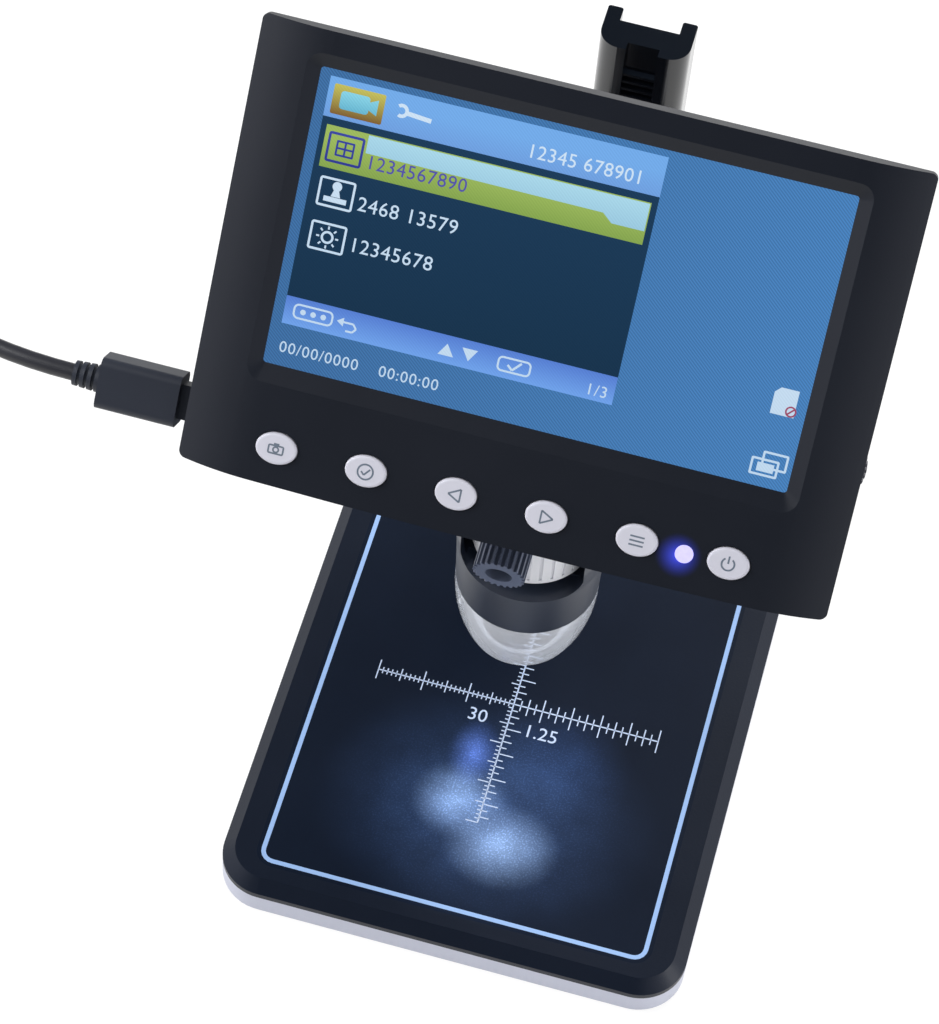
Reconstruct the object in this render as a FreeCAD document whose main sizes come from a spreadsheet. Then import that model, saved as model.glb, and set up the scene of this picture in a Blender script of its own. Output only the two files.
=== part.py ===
import FreeCAD, Part, Sketcher

import math
import os

from FreeCAD import Placement, Rotation, Vector

# Frame: +Z up, +X to the right, +Y towards the back, origin on the table under the base's centre

# Driving sizes in millimetres and degrees, grouped by assembly
SIZES = {
    # Base
    "base_width": 99.0,
    "base_depth": 146.0,
    "base_top": 10.0,
    "base_corner": 10.0,
    "base_seam": 6.0,
    "base_chamfer": 2.6,
    "base_wall": 2.0,
    "base_roof": 2.0,
    "tray_floor": 1.6,
    "foot_radius": 5.0,
    "foot_proud": 0.8,
    "foot_sunk": 0.6,
    "foot_inset_x": 10.5,
    "foot_inset_y": 11.0,
    "screw_inset_x": 10.5,
    "screw_inset_y": 33.0,
    "screw_head_radius": 2.7,
    "screw_head_depth": 1.0,
    "screw_radius": 1.25,
    "boss_radius": 3.2,
    "mat_width": 84.4,
    "mat_back_gap": 7.3,
    "mat_front_inset": 5.6,
    "mat_thickness": 0.5,
    "mat_corner": 3.9,
    "ballast_width": 66.0,
    "ballast_depth": 60.0,
    "ballast_height": 4.5,
    # Column
    "column_width": 17.5,
    "column_depth": 10.0,
    "column_back_inset": 20.7,
    "column_top": 157.0,
    "column_corner": 4.0,
    "channel_width": 6.2,
    "channel_depth": 1.8,
    "notch_width": 11.6,
    "notch_depth": 3.2,
    "socket_wall": 2.0,
    "column_screw_spread": 5.5,
    "column_screw_length": 12.0,
    # Rack and pinion
    "rack_pitch": 2.0,
    "rack_top_margin": 6.5,
    "rack_sink": 0.8,
    "gear_addendum": 0.477,
    "gear_dedendum": 0.55,
    "pinion_teeth": 14,
    "pinion_width": 5.6,
    "pinion_shaft_radius": 2.5,
    "mesh_clearance": 0.05,
    "knob_radius": 9.5,
    "knob_length": 12.0,
    "knob_gap": 0.5,
    # Carriage and arm
    "carriage_width": 29.0,
    "carriage_reach": 12.3,
    "carriage_height": 28.0,
    "carriage_middle": 108.0,
    "carriage_round": 3.0,
    "carriage_cover": 4.0,
    "slide_clearance": 0.06,
    "bore_clearance": 0.05,
    "arm_width": 14.0,
    "arm_height": 14.0,
    "arm_web": 3.0,
    "arm_plate_width": 24.0,
    "arm_plate_height": 24.0,
    "arm_plate_depth": 3.0,
    "arm_middle": 111.0,
    "collar_wall": 4.0,
    "collar_slit": 1.6,
    "ear_reach": 8.0,
    "ear_depth": 4.0,
    # Lens barrel
    "arm_reach": 60.9,
    "barrel_radius": 15.4,
    "barrel_waist": 14.4,
    "barrel_waist_z": 67.3,
    "barrel_sill_radius": 14.8,
    "window_sill_z": 79.3,
    "barrel_full_z": 85.0,
    "barrel_wall": 1.4,
    "window_half_width": 12.4,
    "window_top_z": 101.0,
    "window_corner": 3.0,
    "deck_thickness": 1.8,
    "deck_bore": 8.6,
    "cap_bottom_z": 49.6,
    "cap_bottom_radius": 11.0,
    "cap_bulge": 1.0,
    "cap_wall": 1.4,
    "cap_mouth": 8.2,
    "cap_lip_width": 0.9,
    "cap_lip_height": 1.4,
    "cap_spigot": 2.7,
    "light_board_radius": 12.6,
    "light_board_bore": 7.0,
    "light_board_thickness": 1.2,
    "chip_size": 2.8,
    "chip_height": 1.2,
    "chip_circle": 9.3,
    # Focus gear
    "ring_radius": 12.0,
    "ring_bore": 9.05,
    "ring_height": 16.3,
    "ring_bottom_z": 81.7,
    "ring_ribs": 32,
    "ring_rib_depth": 0.35,
    "ring_rim": 0.9,
    "roller_radius": 5.15,
    "roller_teeth": 24,
    "roller_tooth_depth": 0.62,
    "roller_length": 6.9,
    "roller_tilt": 10.0,
    "roller_x": -2.5,
    "roller_reach": 12.9,
    "roller_hub_z": 95.27,
    "roller_bore": 2.65,
    "roller_recess_radius": 3.95,
    "roller_recess_depth": 2.4,
    "roller_hole_depth": 2.3,
    "carrier_radius": 9.0,
    "carrier_bottom_z": 84.0,
    "carrier_flange_z": 100.0,
    "carrier_flange_radius": 11.0,
    "carrier_flange_height": 2.0,
    "carrier_bore": 6.6,
    "lens_radius": 6.6,
    "lens_thickness": 3.0,
    "guide_width": 2.0,
    "guide_reach": 10.6,
    "sensor_z": 125.0,
    # Display housing, in its own leaning frame
    "display_lean": 51.1,
    "display_reach": 10.04,
    "display_z": 175.01,
    "face_half_width": 59.6,
    "face_top": 33.5,
    "face_corner_drop": 48.2,
    "face_middle_drop": 49.0,
    "face_proud": 1.3,
    "face_round": 13.6,
    "face_fall": 3.0,
    "face_corner": 1.3,
    "bezel_back": 3.2,
    "housing_back": 20.7,
    "housing_wall": 1.8,
    "bevel_depth": 2.7,
    "screen_width": 95.04,
    "screen_height": 53.86,
    "recess_side": 3.1,
    "recess_top": 2.5,
    "recess_bottom": 3.3,
    "panel_width": 105.5,
    "panel_thickness": 2.9,
    "panel_top": 30.4,
    "panel_bottom": 36.8,
    "button_length": 7.6,
    "button_height": 5.8,
    "button_pitch": 16.5,
    "button_first": -41.8,
    "button_drop": 41.5,
    "button_proud": 0.7,
    "button_gap": 0.2,
    "button_travel": 0.8,
    "button_flange": 0.8,
    "light_x": 32.8,
    "light_below": 0.35,
    "light_radius": 1.65,
    "wheel_radius": 7.0,
    "wheel_thickness": 2.0,
    "wheel_proud": 0.45,
    "wheel_drop": 20.9,
    "wheel_depth": 4.6,
    "port_drop": 40.2,
    "port_depth": 9.0,
    "board_depth": 6.4,
    "board_thickness": 1.6,
    "battery_width": 35.0,
    "battery_inset": 4.2,
    "battery_height": 44.0,
    "battery_thickness": 6.0,
    # Lead
    "cord_diameter": 3.2,
    "plug_shell_width": 6.6,
    "socket_skin": 0.3,
    "plug_shell_height": 3.2,
    "plug_body_start": 62.3,
    "plug_body_length": 15.0,
    "plug_body_width": 9.6,
    "plug_body_height": 7.2,
    "relief_length": 5.2,
    "relief_radius": 2.6,
    "coil_pitch": 3.9,
    "coil_radius": 24.5,
    "coil_inner": 10.0,
    "coil_x": -195.0,
    "coil_y": 71.2,
    "coil_half_turns_in": 7,
    "coil_half_turns_out": 7,
    "coil_tail": 20.5,
    "far_plug_width": 16.0,
    "far_plug_height": 9.6,
    "far_plug_length": 25.0,
    "far_shell_width": 12.0,
    "far_shell_height": 4.5,
    "far_shell_length": 12.0,
}

doc = FreeCAD.newDocument("DigitalMicroscope")
sheet = doc.addObject("Spreadsheet::Sheet", "Sizes")
for row, (alias, plain_number) in enumerate(SIZES.items(), start=1):
    sheet.set(f"A{row}", alias)
    sheet.set(f"B{row}", str(plain_number))
    sheet.setAlias(f"B{row}", alias)
doc.recompute()


def number(amount):
    """A length's plain value."""
    return amount.value if isinstance(amount, Dim) else float(amount)


def text(amount):
    """A length as it is written in an expression."""
    return amount.text if isinstance(amount, Dim) else repr(float(amount))


class Dim:
    """A length that knows its value and the expression that gives it from the sheet."""

    def __init__(self, value, words):
        self.value = float(value)
        self.text = words

    def __add__(self, other):
        return Dim(self.value + number(other), f"({self.text} + {text(other)})")

    def __radd__(self, other):
        return Dim(number(other) + self.value, f"({text(other)} + {self.text})")

    def __sub__(self, other):
        return Dim(self.value - number(other), f"({self.text} - {text(other)})")

    def __rsub__(self, other):
        return Dim(number(other) - self.value, f"({text(other)} - {self.text})")

    def __mul__(self, other):
        return Dim(self.value * number(other), f"({self.text} * {text(other)})")

    def __rmul__(self, other):
        return Dim(number(other) * self.value, f"({text(other)} * {self.text})")

    def __truediv__(self, other):
        return Dim(self.value / number(other), f"({self.text} / {text(other)})")

    def __neg__(self):
        return Dim(-self.value, f"(0 - {self.text})")

    def __float__(self):
        return self.value


class Sheet:
    """Gives each cell of the sheet as a length."""

    def __getattr__(self, name):
        return Dim(sheet.get(name), f"Sizes.{name}")


D = Sheet()
NODES = {}

# Places that follow from the driving sizes
base_front = -D.base_depth / 2
column_front = D.base_depth / 2 - D.column_back_inset - D.column_depth
carriage_front = column_front - D.carriage_reach
barrel_y = column_front - D.arm_reach
roller_hub_y = barrel_y - D.roller_reach
display_y = barrel_y - D.display_reach
mat_depth = column_front - D.mat_back_gap - base_front - D.mat_front_inset
mat_middle = base_front + D.mat_front_inset + mat_depth / 2
column_middle = column_front + D.column_depth / 2
column_foot = D.foot_proud + D.tray_floor

# Shared helpers


def bind(thing, **amounts):
    """Set properties from lengths and tie them to the sheet."""
    for name, amount in amounts.items():
        setattr(thing, name, number(amount))
        if isinstance(amount, Dim):
            thing.setExpression(name, amount.text)
    return thing


def place(thing, at, turn=Rotation()):
    """Put a piece at a point and tie each coordinate to the sheet."""
    thing.Placement = Placement(Vector(*[number(part) for part in at]), turn)
    for axis, part in zip("xyz", at):
        if isinstance(part, Dim):
            thing.setExpression(f"Placement.Base.{axis}", part.text)
    return thing


ALONG = {
    "X": Rotation(Vector(0, 1, 0), 90),
    "Y": Rotation(Vector(1, 0, 0), -90),
    "Z": Rotation(),
}


def box(name, length, width, height, at):
    """A box from its low corner."""
    thing = doc.addObject("Part::Box", name)
    bind(thing, Length=length, Width=width, Height=height)
    return place(thing, at)


def middle_box(name, length, width, height, at):
    """A box centred on X and Y, from its low face."""
    x, y, z = at
    return box(name, length, width, height, (x - length / 2, y - width / 2, z))


def cylinder(name, radius, height, at, along="Z"):
    """A cylinder from the middle of its first end."""
    thing = doc.addObject("Part::Cylinder", name)
    bind(thing, Radius=radius, Height=height)
    return place(thing, at, ALONG[along])


def tube(name, outer, inner, height, at, along="Z"):
    """A plain ring or tube."""
    return cut(name, cylinder(name + "_outer", outer, height, at, along),
               cylinder(name + "_inner", inner, height, at, along))


def fuse(name, *parts):
    """Join solids into one."""
    thing = doc.addObject("Part::MultiFuse", name)
    thing.Shapes = list(parts)
    thing.Refine = True
    return thing


def cut(name, base, *tools):
    """Take tools away from a solid."""
    thing = doc.addObject("Part::Cut", name)
    thing.Base = base
    thing.Tool = tools[0] if len(tools) == 1 else fuse(name + "_tools", *tools)
    return thing


def shaped(name, shape):
    """A sub-part whose shape is worked out from the sheet's values."""
    thing = doc.addObject("Part::Feature", name)
    thing.Shape = shape
    return thing


def node(label, thing, at=None, turn=Rotation()):
    """Name a finished sub-part, and place it where its own frame lies."""
    thing.Label = label
    if at is not None:
        place(thing, at, turn)
    NODES[label] = thing
    return thing


def rounded(name, thing, radius, keep):
    """Round the edges of a solid that the test keeps."""
    doc.recompute()
    marked = [i for i, edge in enumerate(thing.Shape.Edges, start=1) if keep(edge)]
    fillet = doc.addObject("Part::Fillet", name)
    fillet.Base = thing
    fillet.Edges = [(i, number(radius), number(radius)) for i in marked]
    return fillet


def upright(edge):
    """Whether an edge is a straight one along Z."""
    if not isinstance(edge.Curve, Part.Line):
        return False
    return abs(abs(edge.Curve.Direction.z) - 1) < 1e-6


def polygon(points, height, z=0.0):
    """A prism over a closed outline of (x, y) points."""
    corners = [Vector(x, y, z) for x, y in points]
    face = Part.Face(Part.makePolygon(corners + corners[:1]))
    return face.extrude(Vector(0, 0, height))


def oval_face(length, height, x=0.0, y=0.0, z=0.0):
    """An elliptic face, longer along X."""
    outline = Part.Ellipse(Vector(x, y, z), length / 2, height / 2)
    return Part.Face(Part.Wire([outline.toShape()]))


def soft_rectangle(x0, x1, y0, y1, radius, z):
    """A wire round a rectangle with rounded corners."""
    r = min(radius, (x1 - x0) / 2 - 0.01, (y1 - y0) / 2 - 0.01)
    k = r * (1 - math.sqrt(0.5))
    edges = []
    corners = [
        ((x1 - r, y0), (x1 - k, y0 + k), (x1, y0 + r)),
        ((x1, y1 - r), (x1 - k, y1 - k), (x1 - r, y1)),
        ((x0 + r, y1), (x0 + k, y1 - k), (x0, y1 - r)),
        ((x0, y0 + r), (x0 + k, y0 + k), (x0 + r, y0)),
    ]
    for i, (start, middle, end) in enumerate(corners):
        last = corners[i - 1][2]
        edges.append(Part.LineSegment(Vector(*last, z), Vector(*start, z)).toShape())
        edges.append(Part.Arc(Vector(*start, z), Vector(*middle, z), Vector(*end, z)).toShape())
    return Part.Wire(edges)


def ribbed_outline(radius, depth, count, share=0.5):
    """Points of a disc with square grooves; the share is how much of each step stays proud."""
    step = 2 * math.pi / count
    points = []
    for i in range(count):
        start = i * step
        for angle, r in ((0, radius), (share, radius), (share, radius - depth), (1, radius - depth)):
            turn = start + angle * step
            points.append((r * math.cos(turn), r * math.sin(turn)))
    return points


def toothed_outline(radius, depth, count):
    """Points of a wheel with tapered teeth, one tooth per step."""
    step = 2 * math.pi / count
    shares = ((-0.30, radius - depth), (-0.16, radius), (0.16, radius), (0.30, radius - depth))
    points = []
    for i in range(count):
        for share, r in shares:
            turn = (i + share) * step
            points.append((r * math.cos(turn), r * math.sin(turn)))
    return points


def involute_outline(teeth, pitch, addendum, dedendum, clearance, samples=4):
    """Points of a spur gear with involute flanks, a tooth on its own +X axis."""
    pressure = math.radians(20)
    pitch_radius = teeth * pitch / (2 * math.pi)
    base_radius = pitch_radius * math.cos(pressure)
    root = pitch_radius - dedendum
    tip = pitch_radius + addendum

    def flank_angle(r):
        if r <= base_radius:
            r = base_radius
        local = math.acos(base_radius / r)
        here = math.tan(local) - local
        at_pitch = math.tan(pressure) - pressure
        return math.pi / (2 * teeth) - clearance / pitch_radius + at_pitch - here

    start = max(root, base_radius)
    radii = [root] if root < base_radius else []
    radii += [start + (tip - start) * i / (samples - 1) for i in range(samples)]
    points = []
    for i in range(teeth):
        middle = 2 * math.pi * i / teeth
        for r in radii:
            points.append((r, middle - flank_angle(r)))
        for r in reversed(radii):
            points.append((r, middle + flank_angle(r)))
    return [(r * math.cos(a), r * math.sin(a)) for r, a in points]


def screw(name, radius, length, head_radius, head_depth, at, turn=Rotation()):
    """A machine screw with a flat head, its shank along +Z of its own frame."""
    head = cylinder(name + "_head", head_radius, head_depth, (0, 0, 0))
    shank = cylinder(name + "_shank", radius, length, (0, 0, 0))
    return place(fuse(name, head, shank), at, turn)


def group(name, parts):
    """Several like pieces in one sub-part, each its own solid."""
    thing = doc.addObject("Part::Compound", name)
    thing.Links = parts
    return thing


class Body:
    """A part-design body with its own sketches and features."""

    def __init__(self, label):
        self.body = doc.addObject("PartDesign::Body", label)
        self.label = label

    def rounded_rectangle(self, name, width, depth, corner, middle_y, lift):
        """A fully sized sketch of a rounded rectangle on the body's own XY plane."""
        sketch = self.body.newObject("Sketcher::SketchObject", self.label + "_" + name)
        plane = next(f for f in self.body.Origin.OriginFeatures if f.Role == "XY_Plane")
        sketch.AttachmentSupport = [(plane, "")]
        sketch.MapMode = "FlatFace"
        sketch.AttachmentOffset = Placement(Vector(0, 0, number(lift)), Rotation())
        if isinstance(lift, Dim):
            sketch.setExpression("AttachmentOffset.Base.z", lift.text)
        w, d, r, m = [number(part) for part in (width, depth, corner, middle_y)]
        x, low, high = w / 2, m - d / 2, m + d / 2
        ends = [
            ((-x + r, low), (x - r, low)),
            ((x, low + r), (x, high - r)),
            ((x - r, high), (-x + r, high)),
            ((-x, high - r), (-x, low + r)),
        ]
        for start, end in ends:
            sketch.addGeometry(Part.LineSegment(Vector(*start, 0), Vector(*end, 0)), False)
        centres = [(x - r, low + r, 270), (x - r, high - r, 0), (-x + r, high - r, 90), (-x + r, low + r, 180)]
        for cx, cy, start in centres:
            circle = Part.Circle(Vector(cx, cy, 0), Vector(0, 0, 1), r)
            arc = Part.ArcOfCircle(circle, math.radians(start), math.radians(start + 90))
            sketch.addGeometry(arc, False)
        add = sketch.addConstraint
        for i in range(4):
            add(Sketcher.Constraint("Tangent", i, 2, 4 + i, 1))
            add(Sketcher.Constraint("Tangent", 4 + i, 2, (i + 1) % 4, 1))
        for i in (0, 2):
            add(Sketcher.Constraint("Horizontal", i))
        for i in (1, 3):
            add(Sketcher.Constraint("Vertical", i))
        for i in (5, 6, 7):
            add(Sketcher.Constraint("Equal", 4, i))
        sized = [
            ("Radius", add(Sketcher.Constraint("Radius", 4, r)), corner),
            ("Right", add(Sketcher.Constraint("DistanceX", -1, 1, 1, 1, x)), width / 2),
            ("Left", add(Sketcher.Constraint("DistanceX", 3, 1, -1, 1, x)), width / 2),
            ("Low", add(Sketcher.Constraint("DistanceY", 0, 1, -1, 1, -low)), depth / 2 - middle_y),
            ("High", add(Sketcher.Constraint("DistanceY", -1, 1, 2, 1, high)), depth / 2 + middle_y),
        ]
        for word, index, amount in sized:
            sketch.renameConstraint(index, word)
            if isinstance(amount, Dim):
                sketch.setExpression(f"Constraints.{word}", amount.text)
        return sketch

    def pad(self, name, sketch, length):
        """Raise a sketch into a solid."""
        pad = self.body.newObject("PartDesign::Pad", self.label + "_" + name)
        pad.Profile = sketch
        bind(pad, Length=length)
        doc.recompute()
        return pad

    def pocket(self, name, sketch, length, upwards=False):
        """Cut a sketch into the solid, and make sure that it cuts."""
        before = self.body.Shape.Volume
        pocket = self.body.newObject("PartDesign::Pocket", self.label + "_" + name)
        pocket.Profile = sketch
        pocket.Reversed = upwards
        bind(pocket, Length=length)
        doc.recompute()
        if self.body.Shape.Volume > before - 1e-6:
            raise ValueError(f"{self.label}: {name} cuts nothing")
        return pocket

    def dress(self, kind, name, keep, **amounts):
        """A fillet or chamfer on the edges that the test keeps."""
        base = self.body.Tip
        marked = [f"Edge{i}" for i, edge in enumerate(base.Shape.Edges, start=1) if keep(edge)]
        feature = self.body.newObject("PartDesign::" + kind, self.label + "_" + name)
        feature.Base = (base, marked)
        bind(feature, **amounts)
        doc.recompute()
        return feature


def level(edge, z):
    """Whether an edge lies flat at a height."""
    box_of = edge.BoundBox
    return abs(box_of.ZMin - number(z)) < 1e-6 and abs(box_of.ZMax - number(z)) < 1e-6


# Base: cover, tray, mat, feet, screws and ballast

def corner_points(inset_x, inset_y):
    """The four points at equal insets from the base's corners."""
    x = D.base_width / 2 - inset_x
    y = D.base_depth / 2 - inset_y
    return [(side * x, end * y) for side in (-1, 1) for end in (-1, 1)]


def column_face(grow=0.0, plain=False, z=0.0):
    """The column's cross-section: a rounded front with a groove, and a notch between rear prongs."""
    half = number(D.column_width) / 2 + grow
    front = number(column_front) - grow
    back = number(column_front + D.column_depth) + grow
    r = number(D.column_corner)
    k = r * (1 - math.sqrt(0.5))
    at = [(-half + r, front), (half - r, front), (half - k, front + k), (half, front + r),
          (half, back), (-half, back), (-half, front + r), (-half + k, front + k)]
    p = [Vector(x, y, z) for x, y in at]
    outline = Part.Wire([
        Part.LineSegment(p[0], p[1]).toShape(),
        Part.Arc(p[1], p[2], p[3]).toShape(),
        Part.LineSegment(p[3], p[4]).toShape(),
        Part.LineSegment(p[4], p[5]).toShape(),
        Part.LineSegment(p[5], p[6]).toShape(),
        Part.Arc(p[6], p[7], p[0]).toShape(),
    ])
    face = Part.Face(outline)
    if plain:
        return face
    groove = number(D.channel_width)
    notch = number(D.notch_width)
    depth = number(D.notch_depth)
    face = face.cut(Part.makePlane(groove, number(D.channel_depth), Vector(-groove / 2, front, z)))
    return face.cut(Part.makePlane(notch, depth, Vector(-notch / 2, back - depth, z)))


def make_base():
    cover = Body("base_cover")
    cover_height = D.base_top - D.base_seam
    cover.pad("slab", cover.rounded_rectangle(
        "plan", D.base_width, D.base_depth, D.base_corner, 0.0, D.base_seam), cover_height)
    cover.dress("Chamfer", "top_edge", lambda e: level(e, D.base_top), Size=D.base_chamfer)
    cover.pocket("hollow", cover.rounded_rectangle(
        "inside", D.base_width - 2 * D.base_wall, D.base_depth - 2 * D.base_wall,
        D.base_corner - D.base_wall, 0.0, D.base_seam), cover_height - D.base_roof, upwards=True)
    mat_plan = (D.mat_width, mat_depth, D.mat_corner, mat_middle, D.base_top)
    cover.pocket("mat_seat", cover.rounded_rectangle("mat_plan", *mat_plan), D.mat_thickness)
    roof_under = D.base_top - D.base_roof
    bosses = []
    for i, (x, y) in enumerate(corner_points(D.screw_inset_x, D.screw_inset_y)):
        bosses.append(tube(f"cover_boss_{i}", D.boss_radius, D.screw_radius, roof_under - column_foot,
                           (x, y, column_foot)))
    gap = 0.3
    slot = shaped("column_slot", column_face(gap, plain=True, z=number(D.base_seam) - 1).extrude(
        Vector(0, 0, number(cover_height) + 2)))
    node("base_cover", cut("cover_with_slot", fuse("cover_with_bosses", cover.body, *bosses), slot))
    cover.body.Label = "cover_shell"
    NODES["base_cover"].Label = "base_cover"

    mat = Body("scale_mat")
    mat.pad("sheet", mat.rounded_rectangle(
        "plan", D.mat_width, mat_depth, D.mat_corner, mat_middle, D.base_top - D.mat_thickness),
        D.mat_thickness)
    node("scale_mat", mat.body)

    tray = Body("tray_shell")
    tray.pad("slab", tray.rounded_rectangle(
        "plan", D.base_width, D.base_depth, D.base_corner, 0.0, D.foot_proud), D.base_seam - D.foot_proud)
    tray.pocket("hollow", tray.rounded_rectangle(
        "inside", D.base_width - 2 * D.base_wall, D.base_depth - 2 * D.base_wall,
        D.base_corner - D.base_wall, 0.0, D.base_seam), D.base_seam - column_foot)
    socket_fit = 0.1
    inner_width = D.column_width + 2 * socket_fit
    inner_depth = D.column_depth + 2 * socket_fit
    socket_height = D.base_top - D.base_roof - column_foot - socket_fit
    socket = cut("column_socket",
                 middle_box("socket_block", inner_width + 2 * D.socket_wall, inner_depth + 2 * D.socket_wall,
                            socket_height, (0.0, column_middle, column_foot)),
                 middle_box("socket_hole", inner_width, inner_depth, socket_height,
                            (0.0, column_middle, column_foot)))
    holes = []
    head_room = D.screw_head_radius + 0.15
    points = corner_points(D.screw_inset_x, D.screw_inset_y)
    points += [(-D.column_screw_spread, column_middle - 0.8), (D.column_screw_spread, column_middle - 0.8)]
    for i, (x, y) in enumerate(points):
        holes.append(cylinder(f"tray_hole_{i}", D.screw_radius + 0.2, D.tray_floor + 1,
                              (x, y, D.foot_proud - 0.5)))
        holes.append(cylinder(f"tray_bore_{i}", head_room, D.screw_head_depth, (x, y, D.foot_proud)))
    feet = []
    for i, (x, y) in enumerate(corner_points(D.foot_inset_x, D.foot_inset_y)):
        holes.append(cylinder(f"foot_seat_{i}", D.foot_radius, D.foot_sunk, (x, y, D.foot_proud)))
        feet.append(cylinder(f"foot_{i}", D.foot_radius, D.foot_proud + D.foot_sunk, (x, y, 0.0)))
    node("base_tray", cut("tray_with_holes", fuse("tray_with_socket", tray.body, socket), *holes))
    node("rubber_feet", group("feet", feet))

    screws = []
    for i, (x, y) in enumerate(corner_points(D.screw_inset_x, D.screw_inset_y)):
        length = D.base_top - D.base_roof - D.foot_proud - 0.8
        screws.append(screw(f"base_screw_{i}", D.screw_radius, length, D.screw_head_radius,
                            D.screw_head_depth, (x, y, D.foot_proud)))
    node("base_screws", group("base_screw_set", screws))
    ballast_y = mat_middle
    node("ballast_plate", middle_box("ballast", D.ballast_width, D.ballast_depth, D.ballast_height,
                                     (0.0, ballast_y, column_foot)))


# Column with its rack


def make_column():
    foot = number(column_foot)
    top = number(D.column_top)
    post = column_face(z=foot).extrude(Vector(0, 0, top - foot))
    back = number(column_front + D.column_depth)
    prong_round = 0.5
    tips = [e for e in post.Edges if upright(e) and e.Vertexes[0].Point.y > back - 0.1]
    post = post.makeFillet(prong_round, tips)
    pitch = number(D.rack_pitch)
    root_y = number(column_front + D.channel_depth)
    crest_y = number(column_front + D.rack_sink)
    pitch_y = crest_y + number(D.gear_addendum)
    slope = math.tan(math.radians(20))
    half_crest = pitch / 4 - number(D.gear_addendum) * slope
    half_root = pitch / 4 + (root_y - pitch_y) * slope
    highest = top - number(D.rack_top_margin)
    low = number(D.base_top) + 2
    count = int((highest - low) / pitch)
    middle = number(D.carriage_middle)
    first = middle + pitch * math.floor((highest - pitch - middle) / pitch) + pitch / 2
    web = 0.6
    points = [(root_y + web, first + pitch / 2)]
    for i in range(count):
        z = first - i * pitch
        points += [(root_y, z + half_root), (crest_y, z + half_crest)]
        points += [(crest_y, z - half_crest), (root_y, z - half_root)]
    points.append((root_y + web, first - count * pitch + pitch / 2))
    half = number(D.channel_width) / 2
    corners = [Vector(-half, y, z) for y, z in points]
    rack = Part.Face(Part.makePolygon(corners + corners[:1])).extrude(Vector(2 * half, 0, 0))
    blank = shaped("column_blank", post.fuse(rack).removeSplitter())
    pilots = []
    screws = []
    for side, word in ((-1, "left"), (1, "right")):
        x = side * D.column_screw_spread
        y = column_middle - 0.8
        pilots.append(cylinder(f"column_pilot_{word}", D.screw_radius, D.column_screw_length - D.tray_floor,
                               (x, y, column_foot)))
        screws.append(screw(f"column_screw_{word}", D.screw_radius, D.column_screw_length,
                            D.screw_head_radius, D.screw_head_depth, (x, y, D.foot_proud)))
    node("column", cut("column_body", blank, *pilots))
    node("column_screws", group("column_screw_set", screws))


# Carriage, pinion, knobs and holder arm

pinion_pitch_radius = D.pinion_teeth * D.rack_pitch / (2 * math.pi)
rack_pitch_y = column_front + D.rack_sink + D.gear_addendum
pinion_y = rack_pitch_y - pinion_pitch_radius - D.mesh_clearance
carriage_low = D.carriage_middle - D.carriage_height / 2
cover_y = column_front + D.column_depth + 0.2


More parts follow.
